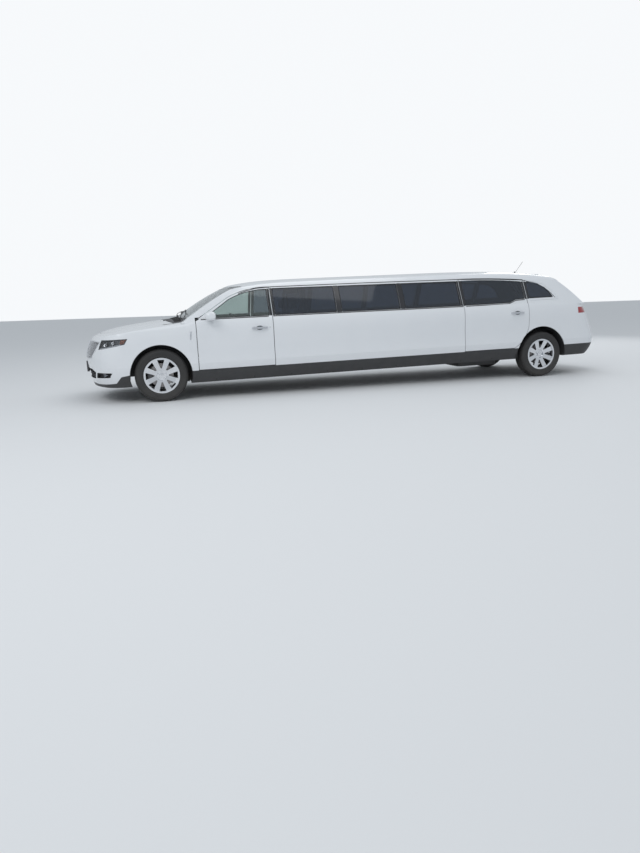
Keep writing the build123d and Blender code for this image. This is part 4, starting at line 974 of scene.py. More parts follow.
@dataclass
class BodyPanels:
    """White panels, their hidden sides, and the black lower cladding."""

    shop: Workshop
    shell_nodes: tuple[str, ...] = ("front_fenders", "side_panels", "quarter_panels", "front_bumper",
                                    "rear_bumper")
    joint_width: float = 0.011
    nose_end: float = -3.6
    tail_start: float = 3.9
    glass_end: float = 3.25
    pockets: tuple[tuple[Point2, ...], ...] = (
        ((-0.1, 0.345), (0.501, 0.345), (0.587, 0.440), (0.450, 0.4835), (-0.1, 0.4835)),
        ((0.620, 0.437), (0.892, 0.4415), (0.848, 0.373), (0.550, 0.3525)))

    def build(self) -> None:
        """Dresses the panels and adds the roof joints and the sill clips."""
        for node in self.shell_nodes:
            self.shop.zones(node, ("white_pearl", "trim_plastic", "black_rubber"), self._shell)
        self.shop.zones("hood", ("white_pearl", "underbody_coat"), self._lid)
        self.shop.zones("roof_panel", ("white_pearl", "headlining"), self._lid)
        self.shop.zones("liftgate", ("white_pearl", "trim_plastic"), self._gate)
        self.shop.dress("cowl_panel", "trim_plastic")
        self.shop.dress("lower_cladding", "black_cladding")
        self._roof_joints()
        self._sill_clips()

    def _shell(self, centres: np.ndarray, normals: np.ndarray) -> np.ndarray:
        """Paint outside, trim inside, rubber in the window openings and the nose pockets.

        Args:
            centres: level centre of each face.
            normals: normal of each face.

        Returns:
            The slot of each face.
        """
        out, slots, x = outward(centres, normals), np.zeros(len(centres)), centres[:, 0]
        slots[(out < -0.25) & (x > DOOR_FRONT_X - 0.3) & (x < self.tail_start)] = 1
        slots[in_reveal(centres, out) & (x > B_POST_X) & (x < self.glass_end)] = 2
        for outline in self.pockets:
            slots[(x < self.nose_end) & within(np.abs(centres[:, 1]), centres[:, 2], outline)] = 2
        return slots

    def _lid(self, _centres: np.ndarray, normals: np.ndarray) -> np.ndarray:
        """Paint above, and the second finish on faces that look down."""
        return (normals[:, 2] < -0.3).astype(int)

    def _gate(self, _centres: np.ndarray, normals: np.ndarray) -> np.ndarray:
        """Paint outside, and trim on faces that look into the car."""
        return ((normals[:, 0] < -0.35) | (normals[:, 2] < -0.75)).astype(int)

    def _roof_joints(self) -> None:
        """The dark joint along each side of the roof, over the doors and the stretch."""
        skin = Skin("roof_panel", "side_panels", "quarter_panels", "front_left_door", "rear_left_door")
        line = [(-1.99, 1.436), (-1.88, 1.470), (-1.735, 1.501), (-1.50, 1.517), (0.0, 1.524),
                (1.49, 1.522), (2.05, 1.508), (2.62, 1.478), (2.92, 1.432)]
        strip = line_on(line, skin.flank(-1), bead(self.joint_width, 0.0035, -0.002), 0.05)
        self.shop.place("roof_joint_strips", both_sides(strip), "black_rubber")

    def _sill_clips(self) -> None:
        """Round clips along the lower edge of each sill, from front door to rear door."""
        skin = Skin("lower_cladding")
        clip = turned([(0.0085, 0.0), (0.0085, 0.002), (0.006, 0.004), (0.0, 0.0045)], 12, False)
        places, _ = skin.side(-2.40, 0.262, -1)
        clips = self.shop.repeat(clip.moved(tip(180, "X")), 9, (0.55, 0, 0), finish="black_rubber")
        row = clips.moved(at(-2.40, 0, 0.262) @ Matrix.Translation((0, places.y, 0)))
        self.shop.place("sill_clips", both_sides(row), "black_rubber")


@dataclass
class SideGlass:
    """Window glass, the black post covers between panes, seals and mouldings."""

    shop: Workshop
    sill: float = 1.114
    head: float = 1.498
    post: float = 0.038
    lift: float = 0.0006
    cover: float = 0.0022
    seal_width: float = 0.010
    outlines: dict[str, list[Point2]] = field(default_factory=dict)

    def build(self) -> None:
        """Dresses the glass and builds every cover, seal and moulding."""
        self._outlines()
        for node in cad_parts:
            if node.endswith("_window"):
                self.shop.dress(node, "privacy_glass" if node.startswith("rear") else "clear_glass")
        self.shop.dress("side_windows", "privacy_glass")
        self.shop.dress("liftgate_glass", "privacy_glass")
        self.shop.dress("windscreen", "screen_glass")
        for side, sign in SIDES.items():
            self._covers(side, sign)
            self._seals(side, sign)
            self._mouldings(side, sign)
        self._screens()

    def _outlines(self) -> None:
        """Outline of each pane of one side, in level x and z."""
        front = [(-2.144, 1.366), (-2.528, 1.112), (-1.576, 1.112), (-1.576, 1.492)]
        front += arc((-1.576, 1.492), (-1.858, 1.463), (-2.144, 1.366), 10)[1:-1]
        rear = [(2.607, 1.455), (2.607, 1.178), (2.430, 1.170), (2.310, 1.124), (1.533, 1.117),
                (1.533, 1.500)] + arc((1.533, 1.500), (2.150, 1.489), (2.607, 1.455), 12)[1:-1]
        quarter = [(2.683, 1.446), (2.683, 1.181), (3.150, 1.186)]
        quarter += arc((3.150, 1.186), (2.960, 1.384), (2.683, 1.446), 12)[1:-1]
        self.outlines = {"front": front, "rear": rear, "quarter": quarter}
        pitch = STRETCH / PANES
        for i in range(PANES):
            x0, x1 = B_POST_X + i * pitch + self.post, B_POST_X + (i + 1) * pitch - self.post
            self.outlines[f"stretch_{i + 1}"] = rect(x0, x1, self.sill, self.head)

    def _covers(self, side: str, sign: int) -> None:
        """Black gloss covers on the posts, each on the panel that carries it.

        Args:
            side: left or right.
            sign: the side's direction along Y.
        """
        gap, half = 0.0065, self.post - 0.0012
        skin = Skin(f"front_{side}_door", f"rear_{side}_door", "side_panels", "quarter_panels",
                    "roof_panel")
        pitch, door = STRETCH / PANES, f"rear_{side}_door_body"
        for name, post, off0, off1, body in (
                ("b_post", B_POST_X, -half, -gap, f"front_{side}_door_body"),
                ("b_post_rear", B_POST_X, gap, half, "root"),
                ("post_1", B_POST_X + pitch, -half, half, "root"),
                ("post_2", B_POST_X + 2 * pitch, -half, half, "root"),
                ("c_post", C_POST_X, -half, -gap, "root"), ("c_post_rear", C_POST_X, gap, half, door),
                ("d_post", D_POST_X, -half, -gap, door), ("d_post_rear", D_POST_X, gap, half, "root")):
            x0, x1 = post + off0, post + off1
            low = 1.176 if x0 > 2.5 else self.sill
            high = 1.452 if x0 > 2.5 else self.head - (0.006 if x1 < B_POST_X else 0.0)
            shape = patch(rect(x0, x1, low, high), skin.flank(sign), self.lift, self.cover, 0.03)
            self.shop.place(f"{side}_{name}_cover", shape, "piano_black", body)

    def _carrier(self, pane: str, side: str) -> str:
        """Body that carries the frame of a pane."""
        return f"{pane}_{side}_door_body" if pane in ("front", "rear") else "root"

    def _seals(self, side: str, sign: int) -> None:
        """A rubber seal round each pane, from the glass up to the skin.

        Args:
            side: left or right.
            sign: the side's direction along Y.
        """
        for pane, outline in self.outlines.items():
            nodes = [f"{pane}_{side}_window"] if pane in ("front", "rear") else ["side_windows"]
            skin = Skin(*nodes)
            path = inset(outline, 0.5 * self.seal_width + 0.0006)
            seal = line_on(path, skin.flank(sign), bead(self.seal_width, 0.0042, 0.0002), 0.03, True)
            self.shop.place(f"{side}_{pane}_window_seal", seal, "black_rubber", self._carrier(pane, side))

    def _mouldings(self, side: str, sign: int) -> None:
        """Mouldings round the quarter window, and weatherstrips below the side glass.

        Args:
            side: left or right.
            sign: the side's direction along Y.
        """
        skin = Skin("quarter_panels", "roof_panel", f"rear_{side}_door", f"front_{side}_door",
                    "side_panels")
        door, rear_door = f"front_{side}_door", f"rear_{side}_door"
        quarter = [(2.700, 1.470), (2.860, 1.446), (2.989, 1.410), (3.120, 1.318), (3.216, 1.215),
                   (3.225, 1.168), (3.150, 1.160), (2.700, 1.158)]
        inner = [(2.70, 1.457), (2.90, 1.412), (3.02, 1.345), (3.12, 1.255), (3.178, 1.180)]
        belt = bead(0.012, 0.005, -0.002)
        for name, path, profile, step, finish, body in (
                (f"{side}_quarter_moulding", quarter, bead(0.020, 0.007, -0.003), 0.02, "white_pearl",
                 "root"),
                (f"{side}_quarter_inner_moulding", inner, bead(0.009, 0.005, -0.003), 0.02, "dark_chrome",
                 "root"),
                (f"{side}_front_door_weatherstrip", [(-2.56, 1.102), (-1.60, 1.102)], belt, 0.04,
                 "black_rubber", f"{door}_body"),
                (f"{side}_rear_door_weatherstrip", [(1.54, 1.106), (2.30, 1.113), (2.43, 1.159),
                                                    (2.60, 1.167)], belt, 0.03, "black_rubber",
                 f"{rear_door}_body"),
                (f"{side}_stretch_weatherstrip", [(-1.53, 1.104), (1.487, 1.104)], belt, 0.08,
                 "black_rubber", "root")):
            self.shop.place(name, line_on(path, skin.flank(sign), profile, step), finish, body)

    def _screens(self) -> None:
        """Black printed borders on the windscreen and the backlight."""
        front, rear = Skin("windscreen"), Skin("liftgate_glass")
        screen = [(-0.800, 1.134), (0.800, 1.134), (0.628, 1.536), (-0.628, 1.536)]
        gate = [(-0.684, 1.162), (0.684, 1.162), (0.500, 1.474), (-0.500, 1.474)]
        self._border("windscreen_frit", screen, front.front, "root", 0.036)
        self._border("backlight_frit", gate, rear.rear, "liftgate_body", 0.030)

    def _border(self, name: str, outline: Sequence[Point2], landing: Landing, body: str,
                width: float) -> None:
        """A black border inside the outline of a pane.

        Args:
            name: name of the piece.
            outline: outline of the pane, across the car and up.
            landing: gives the place and normal on the pane.
            body: body that carries the pane.
            width: width of the border.
        """
        ring = line_on(inset(outline, width / 2), landing,
                       [(-width / 2, 0.0006), (-width / 2, 0.0020), (width / 2, 0.0020),
                        (width / 2, 0.0006)], 0.02, True)
        self.shop.place(name, ring, "piano_black", body)


@dataclass
class Doors:
    """Door skins, inner trim, key cylinders, dark handle plates of painted recess shade, and mirrors."""

    shop: Workshop
    key_r: float = 0.0095
    # Distance from the car's middle, share of the width and of the height, and drop of each section
    cap_rows: tuple[tuple[float, ...], ...] = (
        (0.934, 0.34, 0.36, -0.24), (0.938, 0.46, 0.50, -0.16), (0.950, 0.66, 0.72, -0.08),
        (0.966, 0.80, 0.86, -0.02), (1.000, 0.92, 0.96, 0.0), (1.050, 0.98, 1.00, 0.0),
        (1.086, 0.94, 0.93, 0.0), (1.106, 0.82, 0.80, 0.0), (1.116, 0.60, 0.58, 0.0),
        (1.119, 0.30, 0.30, 0.0))
    card: dict[str, tuple[float, float]] = field(
        default_factory=lambda: {"front": (-2.50, -1.68), "rear": (1.62, 2.42)})

    def build(self) -> None:
        """Dresses the doors and adds their inner trim."""
        for side, sign in SIDES.items():
            for end in ("front", "rear"):
                self.shop.zones(f"{end}_{side}_door", ("white_pearl", "trim_plastic", "black_rubber"),
                                self._door)
                self.shop.dress(f"{end}_{side}_handle", "bright_chrome")
                self._inner(end, side, sign)
                self._shade_plate_and_lock(end, side, sign)
            self._mirror(side, sign)

    def _door(self, centres: np.ndarray, normals: np.ndarray) -> np.ndarray:
        """Paint outside, trim inside, rubber in the window opening and at the shut faces.

        Args:
            centres: level centre of each face.
            normals: normal of each face.

        Returns:
            The slot of each face.
        """
        out, slots = outward(centres, normals), np.zeros(len(centres))
        slots[out < -0.25] = 1
        slots[in_reveal(centres, out)] = 2
        return slots

    def _shade_plate_and_lock(self, end: str, side: str, sign: int) -> None:
        """A dark plate behind the grip, painted shade that stands in for the handle's recess, and a key
        cylinder on a front door.

        Args:
            end: front or rear.
            side: left or right.
            sign: the side's direction along Y.
        """
        x, z = (-1.744, 0.950) if end == "front" else (2.428, 0.966)
        skin = Skin(f"{end}_{side}_door")
        body = f"{end}_{side}_door_body"
        bowl = arc((x - 0.062, z), (x, z + 0.030), (x + 0.062, z), 12)
        bowl += arc((x + 0.062, z), (x, z - 0.030), (x - 0.062, z), 12)[1:-1]
        # Painted shade: a dark chrome plate stands in for the shadowed scoop under the grip.
        plate = patch(bowl, skin.flank(sign), 0.0002, 0.0012, 0.014)
        self.shop.place(f"{end}_{side}_handle_recess", plate, "dark_chrome", body)
        if end == "front":
            place, normal = skin.side(x + 0.150, z, sign)
            lock = turned([(self.key_r, 0.0), (self.key_r, 0.003), (0.007, 0.0042), (0.0, 0.0042)], 20,
                          False).moved(facing(place, normal))
            self.shop.place(f"{end}_{side}_key_cylinder", lock, "bright_chrome", body)

    def _inner(self, end: str, side: str, sign: int) -> None:
        """Armrest, pocket and handle on the inner side.

        Args:
            end: front or rear.
            side: left or right.
            sign: the side's direction along Y.
        """
        x0, x1 = self.card[end]
        middle, length = 0.5 * (x0 + x1), x1 - x0
        door = Skin(f"{end}_{side}_door")

        def wall(z: float) -> float:
            """Distance of the inner skin from the car's middle."""
            place, _ = door.cast(STANCE.point(middle, 0.3 * sign, z), Vector((0, sign, 0)))
            return abs(place.y)

        for name, size, radius, x, z, sink, finish in (
                ("armrest", (length * 0.62, 0.062, 0.070), 0.022, middle + 0.06, 0.80, 0.024,
                 "black_leather"),
                ("door_pocket", (length * 0.70, 0.040, 0.110), 0.016, middle, 0.52, 0.014, "trim_plastic"),
                ("inner_handle", (0.110, 0.016, 0.024), 0.007, x0 + 0.12, 0.93, 0.012, "bright_chrome")):
            piece = block(size, radius, at(x, sign * (wall(z) - sink), z))
            self.shop.place(f"{end}_{side}_{name}", piece, finish, f"{end}_{side}_door_body")

    def _round(self, half: float, share: float, along: float, power: float, shift: float) -> float:
        """Place on a rounded section of the mirror cap, from its middle."""
        return half * share * math.copysign(abs(along) ** power, along) + half * shift

    def _mirror(self, side: str, sign: int) -> None:
        """Rounded cap, foot, glass and the black sail at the window's corner.

        Args:
            side: left or right.
            sign: the side's direction along Y.
        """
        low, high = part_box(f"front_{side}_mirror")
        middle = 0.5 * (low + high)
        half_x, half_z = 0.5 * (high.x - low.x) - 0.001, 0.5 * (high.z - low.z) - 0.001
        angles = [2 * math.pi * k / 36 for k in range(36)]
        rows = [[Vector((middle.x + self._round(half_x, wide, c, 0.62 if c > 0 else 0.92, 0.7 * (1 - wide)),
                         sign * y, middle.z + self._round(half_z, tall, s, 0.72, drop)))
                 for c, s in ((math.cos(angle), math.sin(angle)) for angle in angles)]
                for y, wide, tall, drop in self.cap_rows]
        body = f"front_{side}_door_body"
        cap = self.shop.place(f"front_{side}_mirror_cap", loft(rows), "white_pearl", body, angle=60)
        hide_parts(f"front_{side}_mirror")
        foot = block((0.070, 0.046, 0.040), 0.012,
                     Matrix.Translation((middle.x + 0.022, sign * 0.921, low.z + 0.030)))
        self.shop.place(f"front_{side}_mirror_foot", foot, "trim_plastic", body)
        corners = ((0.972, -0.040), (1.092, -0.038), (1.098, 0.034), (0.978, 0.040))
        glass = slab([Vector((high.x - 0.0022, sign * y, middle.z + z)) for y, z in corners],
                     Vector((0.0020, 0, 0)))
        self.shop.place(f"front_{side}_mirror_glass", glass, "mirror_silver", body, bevel=0.0006)
        window = Skin(f"front_{side}_window")
        sail = patch([(-2.516, 1.1145), (-2.378, 1.1145), (-2.378, 1.204)],
                     window.flank(sign), 0.0003, 0.0040, 0.02)
        self.shop.place(f"front_{side}_mirror_sail", sail, "trim_plastic", body)


@dataclass
class Wheels:
    """Polished wheels with their tyres, nuts, valves, discs and calipers."""

    shop: Workshop
    rib_places: tuple[float, ...] = (-0.079, -0.0405, 0.0, 0.0405, 0.079)
    blocks: int = 58
    block_width: float = 0.031
    groove: float = 0.008
    base_r: float = 0.350
    shoulder_drop: float = 0.0045
    disc_r: float = 0.165
    nut_pitch_r: float = 0.054
    nuts: int = 5
    valve_r: float = 0.211

    def build(self) -> None:
        """Builds everything for the four wheels."""
        pieces = (("tyre_carcass", self._tyre(), "tyre_rubber"),
                  ("tyre_tread", self._tread(), "tyre_rubber"),
                  ("wheel_nuts", self._nuts(), "bright_chrome"), ("wheel_cap", self._cap(), "dark_chrome"),
                  ("valve", self._valve(), "black_rubber"), ("brake_disc", self._disc(), "brake_iron"))
        for end, x in (("front", FRONT_AXLE_X), ("rear", REAR_AXLE_X)):
            for side, sign in SIDES.items():
                hub = Matrix.Translation((x, sign * TRACK / 2, TYRE_R))
                if sign < 0:
                    hub = hub @ tip(180, "Z")
                name = f"{end}_{side}"
                for piece, shape, finish in pieces:
                    thing = self.shop.place(f"{name}_{piece}", shape.moved(hub), finish,
                                            f"{name}_wheel_body", smooth=piece != "tyre_tread")
                    if piece == "tyre_carcass":
                        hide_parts(f"{name}_tyre")
                holder = f"{name}_knuckle_body" if end == "front" else "root"
                turn = Matrix.Rotation(math.pi if (end == "front") == (sign > 0) else 0.0, 4, "Y")
                self.shop.place(f"{name}_brake_caliper", self._caliper().moved(hub @ turn),
                                "caliper_paint", holder, bevel=0.002)
                self.shop.zones(f"{name}_wheel", ("polished_wheel", "wheel_barrel"), self._barrel)

    def _barrel(self, centres: np.ndarray, normals: np.ndarray) -> np.ndarray:
        """Bare alloy on faces that look into the car.

        Args:
            centres: level centre of each face.
            normals: normal of each face.

        Returns:
            The slot of each face.
        """
        out = outward(centres, normals)
        inside = (np.abs(centres[:, 1]) < 0.80) & (np.abs(out) < 0.5)
        return ((out < -0.3) | inside).astype(int)

    def _tyre(self) -> Shape:
        """The carcass: beads, bulged walls with ribs, and the tread's base.

        Returns:
            Its shape about the axle.
        """
        half = [(0.2475, -0.097), (0.258, -0.109), (0.266, -0.1125), (0.270, -0.1150), (0.274, -0.1152),
                (0.277, -0.1140), (0.290, -0.1175), (0.305, -0.1190), (0.318, -0.1186), (0.321, -0.1195),
                (0.326, -0.1193), (0.329, -0.1170), (0.338, -0.1120), (0.340, -0.1130), (0.343, -0.1122),
                (0.345, -0.1090), (0.3515, -0.1020), (0.3560, -0.0940), (0.3570, -0.0850), (0.3572, -0.04)]
        outer = half + [(0.3575, 0.0)] + [(r, -y) for r, y in reversed(half)]
        inner = [(0.2475, 0.060), (0.2475, -0.060)]
        return turned(outer + inner, 96)

    def _tread(self) -> Shape:
        """Blocks of the tread, each rib's ring made by Geometry Nodes.

        Returns:
            All the blocks, about the axle.
        """
        pitch = 2 * math.pi / self.blocks
        rings = []
        for i, y in enumerate(self.rib_places):
            edge = abs(y) > 0.06
            radius = TYRE_R - (0.0022 if edge else 0.0)
            half_length = 0.5 * pitch * radius - self.groove * (0.30 if abs(y) < 0.01 else 0.42)
            skew = 0.006 * (1 if y > 0 else -1) if abs(y) > 0.01 else 0.004
            w = self.block_width / 2
            base = [Vector((x, y + off, self.base_r)) for x, off in (
                (-half_length - skew, -w), (half_length - skew, -w),
                (half_length + skew, w), (-half_length + skew, w))]
            top = [Vector((p.x * 0.95, y + (p.y - y) * 0.95, radius - 0.0008)) for p in base]
            if edge:
                sign = 1 if y > 0 else -1
                top = [Vector((p.x, p.y, p.z - (self.shoulder_drop if p.y * sign > abs(y) else 0.0)))
                       for p in top]
            lug = Shape([*base, *top], [(3, 2, 1, 0), (4, 5, 6, 7), (0, 1, 5, 4), (1, 2, 6, 5),
                                        (2, 3, 7, 6), (3, 0, 4, 7)])
            ring = self.shop.repeat(lug, self.blocks, turn=(0, pitch, 0), finish="tyre_rubber")
            rings.append(ring.moved(Matrix.Rotation(0.37 * pitch * i, 4, "Y")))
        return chain(*rings)

    def _nuts(self) -> Shape:
        """The wheel nuts in their seats.

        Returns:
            The nuts, about the axle.
        """
        nut = turned([(0.0115, 0.0240), (0.0115, 0.0270), (0.0098, 0.0290), (0.0098, 0.0375),
                      (0.0080, 0.0395), (0.0, 0.0400)], 12, False)
        nut = nut.moved(Matrix.Translation((0, 0, self.nut_pitch_r)))
        return self.shop.repeat(nut, self.nuts, turn=(0, 2 * math.pi / self.nuts, 0))

    def _cap(self) -> Shape:
        """A ring on the plain hub cap."""
        return turned([(0.0240, 0.0475), (0.0240, 0.0515), (0.0255, 0.0525), (0.0270, 0.0510),
                       (0.0270, 0.0475)], 40)

    def _valve(self) -> Shape:
        """The valve stem inside the rim's outer edge."""
        stem = turned([(0.0040, 0.058), (0.0040, 0.074), (0.0032, 0.076), (0.0032, 0.087), (0.0036, 0.088),
                       (0.0036, 0.094), (0.0, 0.0945)], 12, False)
        return stem.moved(tip(0.5, "Y") @ Matrix.Translation((self.valve_r, 0, 0)))

    def _disc(self) -> Shape:
        """Vented disc and its hat."""
        rim, slot = self.disc_r, self.disc_r - 0.008
        return turned([(0.085, -0.012), (rim, -0.012), (rim, -0.003), (slot, -0.003), (slot, 0.001),
                       (rim, 0.001), (rim, 0.009), (0.085, 0.009), (0.083, 0.0172), (0.068, 0.0172),
                       (0.068, 0.013), (0.078, 0.009)], 72)

    def _caliper(self) -> Shape:
        """Caliper over the disc's rear edge, with its arm to the knuckle.

        Returns:
            Its shape about the axle.
        """
        r, angles = 0.150, [math.radians(a) for a in range(-24, 25, 4)]
        body = sweep([Vector((r * math.cos(a), 0, r * math.sin(a))) for a in angles],
                     [Vector((math.cos(a), 0, math.sin(a))) for a in angles],
                     [(0.019, -0.036), (0.019, 0.030), (0.014, 0.042), (-0.022, 0.042), (-0.028, 0.034),
                      (-0.028, -0.020), (-0.016, -0.020), (-0.016, 0.0215), (0.013, 0.0215),
                      (0.013, -0.036)])
        arm = block((0.100, 0.014, 0.050), 0.004, Matrix.Translation((0.105, -0.0335, 0)))
        return body.join(arm)


@dataclass
class Nose:
    """Grille, headlamps, intake, fog lamps, wipers and the plate holder."""

    shop: Workshop
    lamp_outline: tuple[Point2, ...] = ((-3.962, 0.755), (-3.608, 0.819), (-3.562, 0.893), (-3.902, 0.884))
    bowls: tuple[Point3, ...] = ((-3.868, 0.822, 0.040), (-3.765, 0.846, 0.032))
    grille_outline: tuple[Point2, ...] = ((-0.034, 0.628), (-0.300, 0.618), (-0.505, 0.632),
                                          (-0.600, 0.738), (-0.672, 0.858), (-0.480, 0.868),
                                          (-0.034, 0.874))
    fog_y: float = 0.726
    fog_z: float = 0.404
    fog_r: float = 0.040
    bars: tuple[float, ...] = (0.372, 0.400, 0.428, 0.456)
    slat_pitch: float = 0.020

    def build(self) -> None:
        """Builds the nose's parts."""
        self.shop.dress("grille", "piano_black")
        self._grille_edge()
        self.shop.dress("grille_backing", "black_rubber")
        self.shop.dress("plate_holder", "trim_plastic")
        self.shop.dress("headlamps", "lamp_lens")
        for side, sign in SIDES.items():
            self._headlamp(side, sign)
            self._fog(side, sign)
            self._fender_blade(side, sign)
        self._intake()
        self._wipers()
        self._jets()
        self._holder_frame()

    def _grille_edge(self) -> None:
        """Bright edge round each half of the grille, and a bright front on each of its bars."""
        skin = Skin("grille", "front_bumper")
        ring = line_on(inset(self.grille_outline, 0.006), skin.front, bead(0.010, 0.005, -0.004), 0.02,
                       True)
        self.shop.place("grille_edges", both_sides(ring), "bright_chrome")
        bars = Shape()
        top_bend, foot_bend = 0.48, 0.50
        for k in range(2, 33):
            y = 0.5 * self.slat_pitch + self.slat_pitch * k
            top = 0.858 if y < top_bend else 0.850 - 0.02 * (y - top_bend) / 0.16
            foot = 0.640 if y < foot_bend else 0.650 + 1.28 * (y - foot_bend)
            if top - foot > 0.03:
                bars.join(line_on([(-y, foot), (-y, top)], skin.front, bead(0.0050, 0.0012, -0.001)))
        self.shop.place("grille_bars", both_sides(bars), "bright_chrome")

    def _headlamp(self, side: str, sign: int) -> None:
        """Housing, bowls, bulbs, side marker and edges of one lamp.

        Args:
            side: left or right.
            sign: the side's direction along Y.
        """
        land = Skin("headlamps").flank(sign)
        outline = inset(self.lamp_outline, 0.007)
        self.shop.place(f"{side}_lamp_housing", patch(outline, land, -0.036, 0.003, 0.018), "lamp_housing")
        for i, (x, z, radius) in enumerate(self.bowls):
            place, normal = land(x, z)
            axis = (normal + Vector((-1.1, 0, 0.0))).normalized()
            bowl = turned([(radius, 0.0), (radius - 0.003, 0.0), (radius * 0.72, -0.012),
                           (radius * 0.42, -0.018), (0.004, -0.019), (0.004, -0.021),
                           (radius * 0.46, -0.021), (radius * 0.8, -0.015), (radius + 0.001, -0.003)], 40)
            seat = facing(place - normal * 0.012, axis)
            self.shop.place(f"{side}_lamp_bowl_{i + 1}", bowl.moved(seat), "lamp_bowl")
            bulb = turned([(0.007, -0.020), (0.008, -0.008), (0.005, -0.003), (0.0, -0.002)], 20, False)
            self.shop.place(f"{side}_lamp_bulb_{i + 1}", bulb.moved(seat), "lamp_lens")
        marker = [(-3.668, 0.822), (-3.618, 0.830), (-3.580, 0.884), (-3.660, 0.881)]
        self.shop.place(f"{side}_side_marker", patch(marker, land, -0.010, 0.004, 0.012), "smoked_lens")
        edge = line_on(inset(self.lamp_outline, 0.003), land, bead(0.005, 0.0026, -0.006), 0.02, True)
        self.shop.place(f"{side}_lamp_edge", edge, "dark_chrome")
        lower = line_on([(-3.945, 0.768), (-3.80, 0.794), (-3.66, 0.818)], land,
                        [(-0.005, -0.020), (-0.005, -0.010), (0.005, -0.010), (0.005, -0.020)], 0.02)
        self.shop.place(f"{side}_lamp_lower_trim", lower, "lamp_bowl")

    def _fog(self, side: str, sign: int) -> None:
        """Fog lamp, its bezel and the bars beside it in the corner pocket.

        Args:
            side: left or right.
            sign: the side's direction along Y.
        """
        skin = Skin("front_bumper")
        place, _ = skin.front(sign * self.fog_y, self.fog_z)
        axis = STANCE.direction(-1, sign * 0.18, 0).normalized()
        r, seat = self.fog_r, facing(place, axis)
        bezel = turned([(r, -0.020), (r + 0.006, -0.020), (r + 0.006, 0.018), (r + 0.002, 0.024),
                        (r - 0.003, 0.019), (r - 0.003, -0.020)], 48)
        self.shop.place(f"{side}_fog_bezel", bezel.moved(seat), "dark_chrome")
        bowl = turned([(r - 0.004, 0.010), (r * 0.7, -0.004), (r * 0.35, -0.010), (0.003, -0.011),
                       (0.003, -0.014), (r * 0.4, -0.014), (r * 0.8, -0.008), (r - 0.003, 0.004)], 40)
        self.shop.place(f"{side}_fog_bowl", bowl.moved(seat), "lamp_bowl")
        lens = turned([(r - 0.003, 0.012), (r - 0.003, 0.015), (r * 0.6, 0.0185), (r * 0.25, 0.0200),
                       (0.0, 0.0203), (0.0, 0.0175), (r * 0.6, 0.0155)], 40)
        self.shop.place(f"{side}_fog_lens", lens.moved(seat), "lamp_lens")
        bars = []
        for z in (0.385, 0.412):
            for y0, y1 in ((0.615, self.fog_y - r - 0.006), (self.fog_y + r + 0.006, 0.800)):
                ends = [skin.front(sign * y, z)[0] + Vector((-0.010, 0, 0)) for y in (y0, y1)]
                bars.append(sweep(ends, [STANCE.direction(-1, 0, 0)] * 2, bead(0.006, 0.006, -0.012)))
        self.shop.place(f"{side}_fog_bars", chain(*bars), "trim_plastic")

    def _fender_blade(self, side: str, sign: int) -> None:
        """Upright bright blade behind the front arch.

        Args:
            side: left or right.
            sign: the side's direction along Y.
        """
        skin = Skin("front_fenders")
        outline = [(-2.734, 0.836), (-2.716, 0.834), (-2.700, 0.950), (-2.722, 0.952)]
        blade = patch(outline, skin.flank(sign), -0.0006, 0.0060, 0.008)
        self.shop.place(f"{side}_fender_blade", blade, "bright_chrome", bevel=0.0015)

    def _intake(self) -> None:
        """Bars and uprights in the lower intake."""
        skin = Skin("front_bumper")
        bars = []
        for z in self.bars:
            half = 0.492 if z < 0.44 else 0.455
            bars.append(line_on([(-half, z), (half, z)], skin.front, bead(0.007, 0.026, -0.003), 0.03))
        self.shop.place("intake_bars", chain(*bars), "trim_plastic")
        upright = rounded_box((0.020, 0.005, 0.112), 0.0015, 1)
        places, _ = skin.front(0.0, 0.40)
        row = self.shop.repeat(upright, 9, (0, 0.1, 0), finish="trim_plastic")
        left = row.moved(Matrix.Translation((places.x - 0.006, -0.4, STANCE.point(places.x, 0, 0.408).z)))
        bend = [skin.front(max(-0.42, min(0.42, p.y)), 0.40)[0].x - places.x for p in left.points]
        bent = Shape([Vector((p.x + off, p.y, p.z)) for p, off in zip(left.points, bend)], left.faces)
        self.shop.place("intake_uprights", bent, "trim_plastic")

    def _wipers(self) -> None:
        """Two wiper arms with their blades, parked low on the windscreen."""
        glass = Skin("windscreen")
        cowl = Skin("cowl_panel", "windscreen")
        for name, pivot, low, high in (("left", -0.56, (-0.52, 1.175), (0.06, 1.225)),
                                       ("right", 0.16, (0.20, 1.180), (0.70, 1.205))):
            blade = line_on([low, high], glass.front, bead(0.010, 0.016, 0.0015), 0.04)
            self.shop.place(f"{name}_wiper_blade", blade, "black_rubber")
            middle = (0.5 * (low[0] + high[0]), 0.5 * (low[1] + high[1]))
            start, up = cowl.top(-2.80, pivot)
            end, normal = glass.front(*middle)
            path = [start - up * 0.010, start + up * 0.022, start.lerp(end, 0.25) + up * 0.034,
                    start.lerp(end, 0.7) + normal * 0.030, end + normal * 0.0155]
            arm = sweep(path, [STANCE.direction(-1, 0, 0.2), up, up, normal, normal],
                        [(-0.007, -0.003), (-0.007, 0.003), (0.007, 0.003), (0.007, -0.003)])
            self.shop.place(f"{name}_wiper_arm", arm, "trim_plastic", bevel=0.001)
            hub = turned([(0.014, -0.004), (0.014, 0.012), (0.010, 0.018), (0.0, 0.019)], 24, False)
            hub = hub.moved(Matrix.Translation(start) @ tip(90, "X"))
            self.shop.place(f"{name}_wiper_pivot", hub, "trim_plastic")

